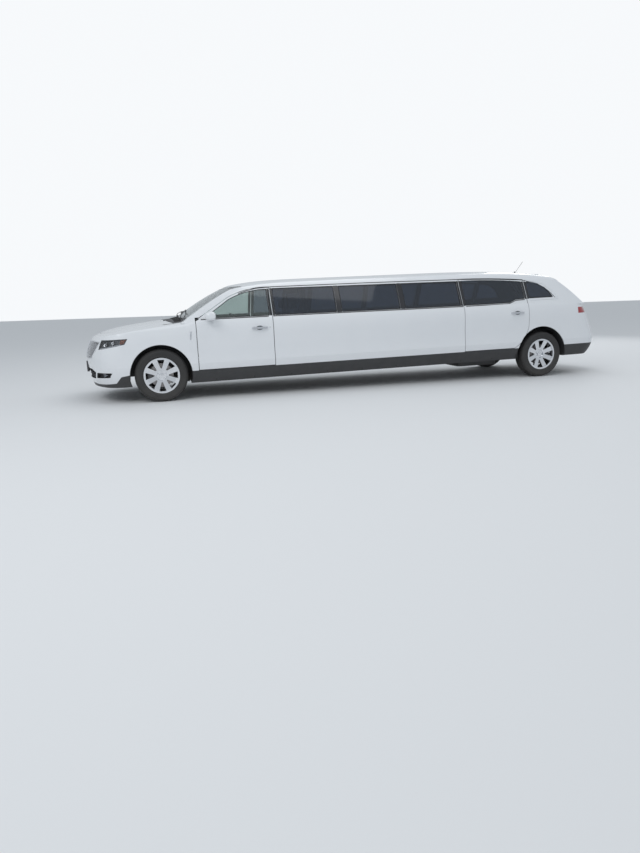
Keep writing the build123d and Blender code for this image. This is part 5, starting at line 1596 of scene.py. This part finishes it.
    def _jets(self) -> None:
        """Washer jets on the bonnet and slats in the cowl."""
        hood, cowl = Skin("hood"), Skin("cowl_panel")
        for side, sign in SIDES.items():
            place, _ = hood.top(-3.03, sign * 0.30)
            jet = block((0.024, 0.032, 0.010), 0.004, Matrix.Translation(place))
            self.shop.place(f"{side}_washer_jet", jet, "black_rubber", "hood_body")
        slat = rounded_box((0.100, 0.006, 0.010), 0.002, 1)
        slats = self.shop.repeat(slat, 60, (0, 0.022, 0), finish="black_rubber")
        place, _ = cowl.top(-2.86, 0.0)
        slats = slats.moved(Matrix.Translation((place.x, -0.649, 0)))
        laid = Shape([Vector((p.x, p.y, p.z + cowl.cast(Vector((p.x, p.y, 2.0)), Vector((0, 0, -1)))[0].z))
                      for p in slats.points], slats.faces)
        self.shop.place("cowl_slats", laid, "black_rubber")

    def _holder_frame(self) -> None:
        """Raised edge and screws of the empty front plate holder."""
        low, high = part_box("plate_holder")
        skin = Skin("plate_holder")

        def land(y: float, z: float) -> tuple[Vector, Vector]:
            """Place on the holder from ahead."""
            return skin.cast(Vector((-5.0, y, z)), Vector((1, 0, 0)))

        outline = rect(low.y + 0.006, high.y - 0.006, low.z + 0.006, high.z - 0.006)
        edge = line_on(outline, land, bead(0.007, 0.0008, -0.002), 0.03, True)
        self.shop.place("plate_holder_edge", edge, "black_rubber")
        screw = turned([(0.006, -0.001), (0.006, 0.0006), (0.004, 0.0009), (0.0, 0.0009)], 20, False)
        screws = chain(*(screw.moved(facing(land(y, high.z - 0.030)[0], Vector((-1, 0, 0))))
                         for y in (-0.05, 0.05)))
        self.shop.place("plate_holder_screws", screws, "bright_chrome")


@dataclass
class Tail:
    """Tail lamps, spoiler, high lamp, plate, rear wiper and reflectors."""

    shop: Workshop
    spoiler_half: float = 0.545
    spoiler_x: float = 3.222
    crown_x: float = 3.205
    spoiler: tuple[Point2, ...] = ((3.222, 1.530), (3.319, 1.511), (3.400, 1.484), (3.452, 1.457),
                                   (3.456, 1.446), (3.440, 1.432), (3.330, 1.455), (3.222, 1.490))
    ribs: tuple[float, ...] = (0.925, 0.945, 0.965, 0.985)

    def build(self) -> None:
        """Builds the tail's parts."""
        self.shop.dress("tail_lamps", "red_lens")
        self.shop.dress("liftgate_lamp", "red_lens")
        self.shop.dress("aerial", "black_rubber")
        for side, sign in SIDES.items():
            self._lamp(side, sign)
        self._spoiler()
        self._plate()
        self._wiper()
        self._loading_edge()

    def _lamp(self, side: str, sign: int) -> None:
        """Ribs of one tail lamp, the reflector below it and the reversing lamp beside it.

        Args:
            side: left or right.
            sign: the side's direction along Y.
        """
        skin = Skin("tail_lamps")
        ribs = [line_on([(3.612, z), (3.715, z)], skin.flank(sign), bead(0.005, 0.0016, -0.001), 0.02)
                for z in self.ribs]
        self.shop.place(f"{side}_tail_lamp_ribs", chain(*ribs), "red_lens")
        bumper = Skin("rear_bumper")
        outline = rect(sign * 0.60, sign * 0.76, 0.528, 0.560)
        reflector = patch(outline, bumper.rear, -0.0005, 0.005, 0.02)
        self.shop.place(f"{side}_rear_reflector", reflector, "red_lens", bevel=0.001)
        gate = Skin("liftgate_lamp")
        clear = rect(sign * 0.50, sign * 0.62, 0.925, 0.988)
        lens = patch(clear, gate.rear, -0.0005, 0.0022, 0.02)
        self.shop.place(f"{side}_reversing_lens", lens, "lamp_bowl", "liftgate_body")

    def _spoiler(self) -> None:
        """Blade at the end of the roof, with the high lamp in its rear edge."""
        steps, rows = 24, []
        half, rim = self.spoiler_half, 0.50
        crown = Skin("liftgate", "roof_panel")
        middle = crown.top(self.crown_x, rim)[0].z
        for i in range(steps + 1):
            y = -half + 2 * half * i / steps
            edge = min(1.0, (half - abs(y)) / 0.03 + 0.25)
            sink = crown.top(self.crown_x, max(-rim, min(rim, y)))[0].z - middle
            sink -= 0.18 * max(0.0, abs(y) - rim)
            rows.append([STANCE.point(self.spoiler_x + (x - self.spoiler_x) * (0.90 + 0.10 * edge), y, z)
                         + Vector((0, 0, sink)) for x, z in self.spoiler])
        shape = loft(rows)
        self.shop.place("spoiler", shape, "white_pearl", "liftgate_body", bevel=0.003)
        skin = BVHTree.FromPolygons(shape.points, shape.faces)

        def land(y: float, z: float) -> tuple[Vector, Vector]:
            """Place on the blade's rear edge."""
            place, normal, _, _ = skin.find_nearest(STANCE.point(3.60, y, z))
            return place, normal if normal.x > 0 else -normal

        lamp = patch(rect(-0.16, 0.16, 1.455, 1.470), land, -0.001, 0.004, 0.02)
        self.shop.place("high_stop_lamp", lamp, "red_lens", "liftgate_body")

    def _plate(self) -> None:
        """The blank plate on the tailgate, its frame and the garnish above it."""
        gate = Skin("liftgate")
        half_y, half_z, z = 0.152, 0.076, 0.700
        outline = rect(-half_y, half_y, z - half_z, z + half_z)
        self.shop.place("rear_plate", patch(outline, gate.rear, 0.002, 0.002, 0.03), "blank_plate",
                        "liftgate_body")
        frame_ring = line_on(outline, gate.rear, bead(0.012, 0.006, -0.001), 0.03, True)
        self.shop.place("rear_plate_frame", frame_ring, "bright_chrome", "liftgate_body")
        garnish = line_on([(-0.26, 0.812), (0.26, 0.812)], gate.rear, bead(0.030, 0.016, -0.004), 0.03)
        self.shop.place("gate_garnish", garnish, "bright_chrome", "liftgate_body")

    def _wiper(self) -> None:
        """Wiper on the backlight."""
        glass = Skin("liftgate_glass")
        blade = line_on([(0.02, 1.205), (0.34, 1.225)], glass.rear, bead(0.009, 0.014, 0.0015), 0.03)
        arm = line_on([(0.0, 1.180), (0.02, 1.190), (0.18, 1.214)], glass.rear,
                      [(-0.006, 0.014), (-0.006, 0.020), (0.006, 0.020), (0.006, 0.014)], 0.03)
        place, normal = glass.rear(0.0, 1.180)
        hub = turned([(0.016, -0.002), (0.016, 0.016), (0.010, 0.022), (0.0, 0.022)], 24, False)
        self.shop.place("rear_wiper", chain(blade, arm, hub.moved(facing(place, normal))), "black_rubber",
                        "liftgate_body")

    def _loading_edge(self) -> None:
        """The cover on the loading edge."""
        bumper = Skin("rear_bumper")
        pad = patch(rect(3.86, 4.02, -0.55, 0.55), bumper.top, 0.0002, 0.0035, 0.05)
        self.shop.place("loading_edge_cover", pad, "trim_plastic", bevel=0.001)


@dataclass(frozen=True)
class Pad:
    """A stuffed pad: its size, edge and how far it may swell."""

    name: str
    size: Point3
    radius: float
    swell: float
    fill: float


@dataclass
class Upholstery:
    """Padded forms, each swollen once by a cloth simulation and then copied into place."""

    shop: Workshop
    pressure: float = 4.0
    frames: int = 20
    voxel: float = 0.006
    keep: float = 0.075
    forms: dict[str, Shape] = field(default_factory=dict)

    def form(self, pad: Pad) -> Shape:
        """The swollen form of a pad about the origin, made once.

        Args:
            pad: the pad wanted.

        Returns:
            Its closed form.
        """
        if pad.name not in self.forms:
            self.forms[pad.name] = self._swell(pad)
        return self.forms[pad.name]

    def _swell(self, pad: Pad) -> Shape:
        """Remeshes, swells and thins one pad.

        Args:
            pad: the pad wanted.

        Returns:
            Its closed form.
        """
        start = rounded_box(pad.size, pad.radius, 4)
        thing = _new_object(f"{pad.name}_form", start)
        bpy.context.scene.collection.objects.link(thing)
        self._modify(thing, "REMESH", mode="VOXEL", voxel_size=self.voxel)
        before = np.array([v.co for v in thing.data.vertices])
        self._simulate(thing)
        after = np.array([v.co for v in thing.data.vertices])
        move = after - before
        length = np.linalg.norm(move, axis=1, keepdims=True)
        move *= np.minimum(1.0, pad.swell / np.maximum(length, 1e-9))
        thing.data.vertices.foreach_set("co", (before + move).ravel())
        self._modify(thing, "DECIMATE", ratio=self.keep)
        self._modify(thing, "SUBSURF", levels=1, render_levels=1)
        mesh = thing.data
        shape = Shape([v.co.copy() for v in mesh.vertices], [tuple(p.vertices) for p in mesh.polygons])
        bpy.data.objects.remove(thing)
        return shape

    def _modify(self, thing: bpy.types.Object, kind: str, **settings: float | str) -> None:
        """Adds a modifier, bakes it into the mesh and takes it off.

        Args:
            thing: the object.
            kind: type of the modifier.
            settings: its settings.
        """
        modifier = thing.modifiers.new(kind.lower(), kind)
        for name, value in settings.items():
            setattr(modifier, name, value)
        self._bake(thing)

    def _bake(self, thing: bpy.types.Object) -> None:
        """Replaces a mesh by its evaluated shape, without modifiers.

        Args:
            thing: the object.
        """
        graph = bpy.context.evaluated_depsgraph_get()
        mesh = bpy.data.meshes.new_from_object(thing.evaluated_get(graph), depsgraph=graph)
        thing.modifiers.clear()
        thing.data = mesh

    def _simulate(self, thing: bpy.types.Object) -> None:
        """Swells a closed mesh by inner pressure.

        Args:
            thing: the object.
        """
        cloth = thing.modifiers.new("cloth", "CLOTH")
        settings = cloth.settings
        settings.use_pressure = True
        settings.uniform_pressure_force = self.pressure
        settings.effector_weights.gravity = 0
        settings.quality = 4
        settings.tension_stiffness = 12
        settings.compression_stiffness = 12
        settings.bending_stiffness = 1.5
        scene = bpy.context.scene
        cloth.point_cache.frame_start = 1
        cloth.point_cache.frame_end = self.frames
        for step in range(1, self.frames + 1):
            scene.frame_set(step)
        self._bake(thing)
        scene.frame_set(1)

    def lay(self, name: str, pad: Pad, place: Matrix, seams: Sequence[float]) -> None:
        """Places a pad with its sewn channels and its piped edge.

        Args:
            name: name of the piece.
            pad: the pad.
            place: its place and turn, with its face up along its own Z.
            seams: places of the channels along the pad, from -0.5 to 0.5.
        """
        form = self.form(pad)
        thing = self.shop.place(name, form.moved(place), "black_leather", angle=60)
        tree = BVHTree.FromPolygons(form.points, form.faces)
        beads = Shape()

        def top(x: float, y: float) -> tuple[Vector, Vector]:
            """Place and normal on the pad's upper side.

            Args:
                x: place along the pad.
                y: place across it.

            Returns:
                The point met and the normal that faces up.
            """
            hit, normal, _, _ = tree.ray_cast(Vector((x, y, 1.0)), Vector((0, 0, -1)))
            if hit is None:
                hit, normal, _, _ = tree.find_nearest(Vector((x, y, pad.size[2])))
            return hit, normal if normal.z > 0 else -normal

        sx, sy, _ = pad.size
        for seam in seams:
            line = [(seam * sx, -0.40 * sy), (seam * sx, 0.40 * sy)]
            beads.join(line_on(line, top, bead(0.0050, 0.0022, -0.0030), 0.02))
        ring = rect(-0.41 * sx, 0.41 * sx, -0.41 * sy, 0.41 * sy)
        beads.join(line_on(ring, top, bead(0.0055, 0.0030, -0.0030), 0.02, True))
        self.shop.place(f"{name}_piping", beads.moved(place), "trim_plastic")


@dataclass
class Cabin:
    """Seats, dashboard, steering wheel, partition and the small parts of the cabin."""

    shop: Workshop
    seat_y: float = 0.390
    seat_x: float = FRONT_AXLE_X + 1.330
    cushion_z: float = 0.580
    bench_x: tuple[float, float] = (-0.870, 1.735)
    rear_bench_x: float = 1.759
    firewall_x: float = DOOR_FRONT_X - 0.040
    partition_x: float = B_POST_X + 0.520
    window: tuple[float, ...] = (-0.446, 0.446, 1.079, 1.401)

    def build(self) -> None:
        """Builds the cabin's parts."""
        soft = Upholstery(self.shop)
        self.shop.dress("dashboard", "trim_plastic")
        self.shop.dress("steering_wheel", "black_leather")
        self.shop.zones("partition", ("black_leather", "headlining"),
                        lambda c, n: ((c[:, 2] > 1.1) & (np.abs(n[:, 0]) > 0.7)).astype(int))
        for side, sign in SIDES.items():
            self._front_seat(soft, side, sign)
        self._lounge(soft)
        self._dashboard()
        self._partition()
        self._roof_parts()

    def _front_seat(self, soft: Upholstery, side: str, sign: int) -> None:
        """One front seat: base, cushion, back, head restraint and rails.

        Args:
            soft: makes the pads.
            side: left or right.
            sign: the side's direction along Y.
        """
        x, y = self.seat_x, sign * self.seat_y
        cushion = Pad("front_cushion", (0.455, 0.445, 0.085), 0.034, 0.022, 0.7)
        back = Pad("front_back", (0.480, 0.430, 0.070), 0.030, 0.022, 0.7)
        rest = Pad("head_restraint", (0.155, 0.225, 0.060), 0.028, 0.012, 0.8)
        nod, lean = tip(4, "Y"), tip(-70, "Y")
        soft.lay(f"{side}_front_cushion", cushion, at(x + 0.235, y, self.cushion_z + 0.025, nod),
                 (-0.22, 0.0, 0.22))
        soft.lay(f"{side}_front_backrest", back, at(x + 0.575, y, self.cushion_z + 0.330, lean),
                 (-0.25, 0.0, 0.25))
        soft.lay(f"{side}_head_restraint", rest, at(x + 0.715, y, 1.262, tip(-82, "Y")), ())
        base = block((0.470, 0.470, 0.090), 0.022, at(x + 0.265, y, self.cushion_z - 0.075))
        shell = block((0.500, 0.450, 0.040), 0.018, at(x + 0.637, y, self.cushion_z + 0.312, lean))
        self.shop.place(f"{side}_seat_shell", shell, "trim_plastic")
        posts = chain(*(block((0.012, 0.012, 0.120), 0.005, at(x + 0.700, y + off, 1.150, tip(8, "Y")))
                        for off in (-0.055, 0.055)))
        self.shop.place(f"{side}_restraint_posts", posts, "bright_chrome")
        rails = chain(*(block((0.470, 0.040, 0.155), 0.008, at(x + 0.270, y + off, 0.412))
                        for off in (-0.19, 0.19)))
        seat_base = self.shop.place(f"{side}_seat_base", base.join(rails), "trim_plastic")
        if side == "left":
            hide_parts("front_seats")

    def _lounge(self, soft: Upholstery) -> None:
        """The long side bench and the rear bench.

        Args:
            soft: makes the pads.
        """
        seat_z, back_z = 0.640, 0.880
        cushion = Pad("lounge_cushion", (0.600, 0.340, 0.100), 0.038, 0.024, 0.75)
        back = Pad("lounge_back", (0.600, 0.235, 0.055), 0.026, 0.022, 0.75)
        rear_x, length = self.rear_bench_x, self.rear_bench_x - self.bench_x[0] + 0.48
        middle = 0.5 * (self.bench_x[0] + self.rear_bench_x + 0.48)
        parts = chain(block((length, 0.430, 0.235), 0.020, at(middle, 0.570, 0.4495)),
                      block((0.480, 1.560, 0.235), 0.020, at(rear_x + 0.262, 0.0, 0.4495)),
                      block((length, 0.045, 0.540), 0.014, at(middle, 0.772, 0.765)),
                      block((0.060, 1.560, 0.540), 0.014, at(rear_x + 0.485, 0.0, 0.765)))
        base = self.shop.place("lounge_frame", parts, "black_leather")
        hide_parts("lounge_seats")
        count, seams = 4, (-0.17, 0.17)
        pitch = (self.bench_x[1] - self.bench_x[0]) / count
        for i in range(count):
            x = self.bench_x[0] + (i + 0.5) * pitch
            soft.lay(f"side_cushion_{i + 1}", cushion, at(x, 0.540, seat_z), seams)
            soft.lay(f"side_back_{i + 1}", back, at(x, 0.712, back_z, tip(82, "X")), seams)
        turn = tip(90, "Z")
        lean = tip(-82, "Y") @ turn
        for i, y in enumerate((-0.455, 0.165)):
            soft.lay(f"rear_cushion_{i + 1}", cushion, at(rear_x + 0.215, y, seat_z, turn), seams)
            soft.lay(f"rear_back_{i + 1}", back, at(rear_x + 0.418, y, back_z, lean), seams)

    def _dashboard(self) -> None:
        """Cluster, screen, veneer, vents, glove box, shifter, console armrest and pedals."""
        dash = Skin("dashboard")

        def face(y: float, z: float) -> tuple[Vector, Vector]:
            """Place and normal on the side that faces the driver."""
            return dash.cast(STANCE.point(-1.9, y, z), STANCE.direction(-1, 0, 0))

        cluster = [(-0.53, 0.955), (-0.25, 0.955), (-0.27, 1.035), (-0.51, 1.035)]
        self.shop.place("instrument_cluster", patch(cluster, face, 0.001, 0.010), "display_glass",
                        bevel=0.002)
        screen = patch(rect(-0.11, 0.11, 0.90, 1.02), face, 0.001, 0.008, 0.03)
        self.shop.place("centre_screen", screen, "display_glass", bevel=0.002)
        veneer = chain(*(patch(rect(y0, y1, 0.935, 0.965), face, 0.0005, 0.004, 0.04)
                         for y0, y1 in ((0.16, 0.74), (-0.74, -0.58))))
        self.shop.place("veneer_strips", veneer, "wood_veneer", bevel=0.001)
        box_edge = line_on([(0.22, 0.78), (0.66, 0.78), (0.68, 0.91), (0.20, 0.91)], face,
                           bead(0.005, 0.0015, -0.002), 0.03, True)
        self.shop.place("glove_box_edge", box_edge, "black_rubber")
        slat, vent = rounded_box((0.012, 0.110, 0.003), 0.001, 1), 0.977
        for i, y in enumerate((-0.66, -0.175, 0.175, 0.66)):
            slats = self.shop.repeat(slat, 6, (0.0, 0.0, 0.010), finish="dark_chrome")
            bezel = line_on(rect(y - 0.062, y + 0.062, 0.970, 1.034), face, bead(0.005, 0.007, -0.002),
                            0.02, True)
            shifted = Shape([Vector((face(y, p.z + vent)[0].x + p.x + 0.004, p.y + y,
                                     STANCE.point(-2.1, 0, p.z + vent).z)) for p in slats.points],
                            slats.faces)
            self.shop.place(f"air_vent_{i + 1}", bezel.join(shifted), "dark_chrome")
        knob = turned([(0.018, 0.0), (0.021, 0.03), (0.020, 0.05), (0.012, 0.062), (0.0, 0.064)], 24, False)
        lever = turned([(0.006, -0.02), (0.006, 0.055)], 12, False)
        upright = tip(90, "X")
        shifter = chain(knob.moved(at(-1.84, 0.0, 0.700, upright)),
                        lever.moved(at(-1.84, 0.0, 0.645, upright)))
        self.shop.place("shift_lever", shifter, "black_leather")
        top_pad = block((0.300, 0.215, 0.030), 0.012, at(-1.520, 0.0, 0.640))
        self.shop.place("console_armrest", top_pad, "black_leather")
        x, y = self.firewall_x, -self.seat_y
        pedals = chain(*(block((0.012, width, height), 0.004, at(x + 0.40, y + off, 0.470, tip(-28, "Y")))
                         for off, width, height in ((0.09, 0.045, 0.130), (-0.02, 0.080, 0.055))))
        arms = chain(*(block((0.014, 0.014, 0.230), 0.004, at(x + 0.355, y + off, 0.590, tip(-14, "Y")))
                       for off in (0.09, -0.02)))
        self.shop.place("pedals", pedals.join(arms), "cast_alloy")

    def _partition(self) -> None:
        """Dark glass in the partition's window, with its frame."""
        x, corners = self.partition_x, rect(*self.window)
        outline = [STANCE.point(x + 0.017, y, z) for y, z in corners]
        self.shop.place("partition_glass", slab(outline, STANCE.direction(0.006, 0, 0)), "privacy_glass")
        for tag, off in (("front", -0.004), ("rear", 0.044)):
            path = [STANCE.point(x + off, y, z) for y, z in corners]
            out = STANCE.direction(-1 if off < 0 else 1, 0, 0)
            ring = sweep(path, [out] * 4, bead(0.020, 0.006, -0.005), True)
            self.shop.place(f"partition_{tag}_frame", ring, "bright_chrome")

    def _roof_parts(self) -> None:
        """Inner mirror, sun visors and the light strips along the lounge ceiling."""
        glass = Skin("windscreen")
        place, _ = glass.cast(STANCE.point(-1.6, 0.0, 1.440), STANCE.direction(-1, 0, 0))
        mirror = block((0.022, 0.235, 0.062), 0.010,
                       Matrix.Translation(place + Vector((0.085, 0, -0.045))))
        stem = sweep([place + Vector((0.004, 0, 0)), place + Vector((0.080, 0, -0.040))],
                     [Vector((0, 0, 1))] * 2, bead(0.014, 0.007, -0.007))
        self.shop.place("inner_mirror", chain(mirror, stem), "trim_plastic")
        roof = Skin("roof_panel")
        for side, sign in SIDES.items():
            top, _ = roof.cast(STANCE.point(-1.95, sign * 0.36, 1.20), STANCE.direction(0, 0, 1))
            visor = block((0.150, 0.330, 0.018), 0.008,
                          Matrix.Translation(top + Vector((0, 0, -0.020))) @ tip(-14, "Y"))
            self.shop.place(f"{side}_sun_visor", visor, "headlining")
        strips = []
        for sign in SIDES.values():
            path = [roof.cast(STANCE.point(x, sign * 0.42, 1.25), STANCE.direction(0, 0, 1))[0]
                    + Vector((0, 0, 0.002)) for x, in spaced([(-0.90,), (2.30,)], 0.16, False)]
            strips.append(sweep(path, [Vector((0, 0, -1))] * len(path), bead(0.022, 0.010, 0.0)))
        self.shop.place("ceiling_light_strips", chain(*strips), "cabin_glow")


@dataclass
class Underbody:
    """Finishes of the mechanical parts, and the parts that show from below."""

    shop: Workshop
    finishes: dict[str, str] = field(default_factory=lambda: {
        "engine": "cast_alloy", "exhaust": "stainless_pipe", "firewall": "underbody_coat",
        "front_subframe": "underbody_coat", "rear_axle": "underbody_coat", "fuel_tank": "black_cladding",
        "wheel_liners": "black_cladding", "front_left_knuckle": "cast_alloy",
        "front_right_knuckle": "cast_alloy"})
    shaft_r: float = 0.036
    bolt_pitch: float = 0.40

    def build(self) -> None:
        """Dresses the mechanical parts and adds shafts, the engine cover and fixings."""
        for node, finish in self.finishes.items():
            self.shop.dress(node, finish)
        self.shop.zones("floor_pan", ("carpet", "underbody_coat"), self._floor)
        self._shaft()
        self._floor_bolts()
        self._engine_cover()

    def _floor(self, _centres: np.ndarray, normals: np.ndarray) -> np.ndarray:
        """Carpet on faces that look up, coating elsewhere."""
        return (normals[:, 2] < 0.3).astype(int)

    def _shaft(self) -> None:
        """The two drive shafts under the floor, with their carriers."""
        spans = []
        for x0, x1 in ((-2.55, -0.60), (-0.56, 1.40)):
            path = [STANCE.point(x0, -0.02, 0.185), STANCE.point(x1, -0.02, 0.185)]
            ring = [(self.shaft_r * math.cos(a), self.shaft_r * math.sin(a))
                    for a in (2 * math.pi * i / 24 for i in range(24))]
            spans.append(sweep(path, [Vector((0, 0, 1))] * 2, ring))
        self.shop.place("drive_shafts", chain(*spans), "underbody_coat")
        carriers = [block((0.060, 0.150, 0.120), 0.012, at(x, -0.02, 0.195))
                    for x in (-2.53, -0.58, 1.38)]
        self.shop.place("shaft_carriers", chain(*carriers), "cast_alloy")

    def _floor_bolts(self) -> None:
        """Bolt heads along both floor rails."""
        floor = Skin("floor_pan")
        head = turned([(0.012, 0.002), (0.012, -0.003), (0.008, -0.004), (0.008, -0.011), (0.0, -0.012)],
                      6, False)
        head = head.moved(tip(90, "X"))
        row = self.shop.repeat(head, 12, (self.bolt_pitch, 0, 0), finish="cast_alloy")
        bolts = Shape()
        for y in (-0.60, 0.60):
            moved = row.moved(Matrix.Translation((-2.45, y, 0)))
            for p in moved.points:
                place, _ = floor.cast(Vector((p.x, y, 0.0)), Vector((0, 0, 1)))
                p.z = place.z + p.z
            bolts.join(moved)
        self.shop.place("floor_bolts", bolts, "cast_alloy")

    def _engine_cover(self) -> None:
        """Ribbed cover on the engine block, under the bonnet."""
        low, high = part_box("engine")
        middle = 0.5 * (low + high)
        cover = block((high.x - low.x - 0.08, high.y - low.y - 0.16, 0.040), 0.014,
                      Matrix.Translation((middle.x, middle.y, high.z + 0.004)))
        rib = rounded_box((high.x - low.x - 0.16, 0.014, 0.010), 0.004, 1)
        ribs = self.shop.repeat(rib, 9, (0, 0.07, 0), finish="black_cladding")
        ribs = ribs.moved(Matrix.Translation((middle.x, middle.y - 0.28, high.z + 0.025)))
        self.shop.place("engine_cover", cover.join(ribs), "black_cladding")


@dataclass
class Studio:
    """Pale floor, sky, soft lamps and the camera at the photograph's viewing angle."""

    eye: Point3 = (-3.492, -10.108, 1.355)
    turns: Point3 = (15.78, 11.21, -1.6)
    lens: float = 36.34
    floor_size: float = 60.0
    floor_colour: Colour = (0.78, 0.79, 0.80)
    sky: Colour = (0.88, 0.94, 1.0)

    def build(self) -> None:
        """Sets the stage, lights and camera."""
        self._floor()
        self._world()
        self._lights()
        self._camera()
        bpy.context.scene.view_settings.view_transform = "Standard"

    def _floor(self) -> None:
        """A plain pale floor."""
        s = self.floor_size
        mesh = bpy.data.meshes.new("floor")
        mesh.from_pydata([(-s, -s, 0), (s, -s, 0), (s, s, 0), (-s, s, 0)], [], [(0, 1, 2, 3)])
        floor = bpy.data.objects.new("floor", mesh)
        bpy.context.scene.collection.objects.link(floor)
        material = bpy.data.materials.new("floor")
        material.use_nodes = True
        shader = material.node_tree.nodes["Principled BSDF"]
        shader.inputs["Base Color"].default_value = (*self.floor_colour, 1)
        shader.inputs["Roughness"].default_value = 0.75
        mesh.materials.append(material)

    def _world(self) -> None:
        """A pale sky, white towards the camera."""
        world = bpy.data.worlds.new("studio")
        world.use_nodes = True
        tree = world.node_tree
        tree.nodes.clear()
        grow(tree, {"sky": ("ShaderNodeBackground", {"Color": (*self.sky, 1), "Strength": 0.60}),
                    "white": ("ShaderNodeBackground", {"Color": (0.93, 0.95, 0.97, 1), "Strength": 1.0}),
                    "rays": ("ShaderNodeLightPath", {}), "mix": ("ShaderNodeMixShader", {}),
                    "out": ("ShaderNodeOutputWorld", {})},
             ("rays.Is Camera Ray > mix.Fac", "sky.Background > mix.1", "white.Background > mix.2",
              "mix.Shader > out.Surface"))
        bpy.context.scene.world = world

    def _lights(self) -> None:
        """Three large soft lamps."""
        for name, place, size, power in (("key", (-7.5, -8.0, 8.0), (7.0, 5.0), 320.0),
                                         ("over", (1.0, 0.0, 9.0), (14.0, 5.0), 200.0),
                                         ("fill", (9.0, 6.0, 5.0), (6.0, 4.0), 120.0)):
            lamp = bpy.data.lights.new(name, "AREA")
            lamp.shape = "RECTANGLE"
            lamp.size, lamp.size_y = size
            lamp.energy = power
            thing = bpy.data.objects.new(name, lamp)
            aim = (Vector((0, 0, 0.8)) - Vector(place)).to_track_quat("-Z", "Y")
            thing.matrix_world = Matrix.Translation(place) @ aim.to_matrix().to_4x4()
            bpy.context.scene.collection.objects.link(thing)

    def _camera(self) -> None:
        """The camera, from its measured yaw, pitch and roll."""
        yaw, pitch, roll = map(math.radians, self.turns)
        ahead = Vector((math.sin(yaw) * math.cos(pitch), math.cos(yaw) * math.cos(pitch), -math.sin(pitch)))
        level = Vector((math.cos(yaw), -math.sin(yaw), 0))
        above = level.cross(ahead)
        right = level * math.cos(roll) + above * math.sin(roll)
        up = above * math.cos(roll) - level * math.sin(roll)
        camera = bpy.data.cameras.new("camera")
        camera.sensor_width = 36
        camera.sensor_fit = "HORIZONTAL"
        camera.lens = self.lens
        thing = bpy.data.objects.new("camera", camera)
        place = Matrix((right, up, -ahead)).transposed().to_4x4()
        place.translation = Vector(self.eye)
        thing.matrix_world = place
        bpy.context.scene.collection.objects.link(thing)
        bpy.context.scene.camera = thing


def main() -> None:
    """Builds every sub-assembly in order."""
    logging.basicConfig(level=logging.INFO, format="%(name)s: %(message)s")
    shop = Workshop()
    for assembly in (BodyPanels(shop), SideGlass(shop), Doors(shop), Wheels(shop), Nose(shop), Tail(shop),
                     Cabin(shop), Underbody(shop)):
        before = len(shop.placed)
        assembly.build()
        LOG.info("%s: %d pieces", type(assembly).__name__, len(shop.placed) - before)
    Studio().build()


if __name__ == "__main__":
    main()
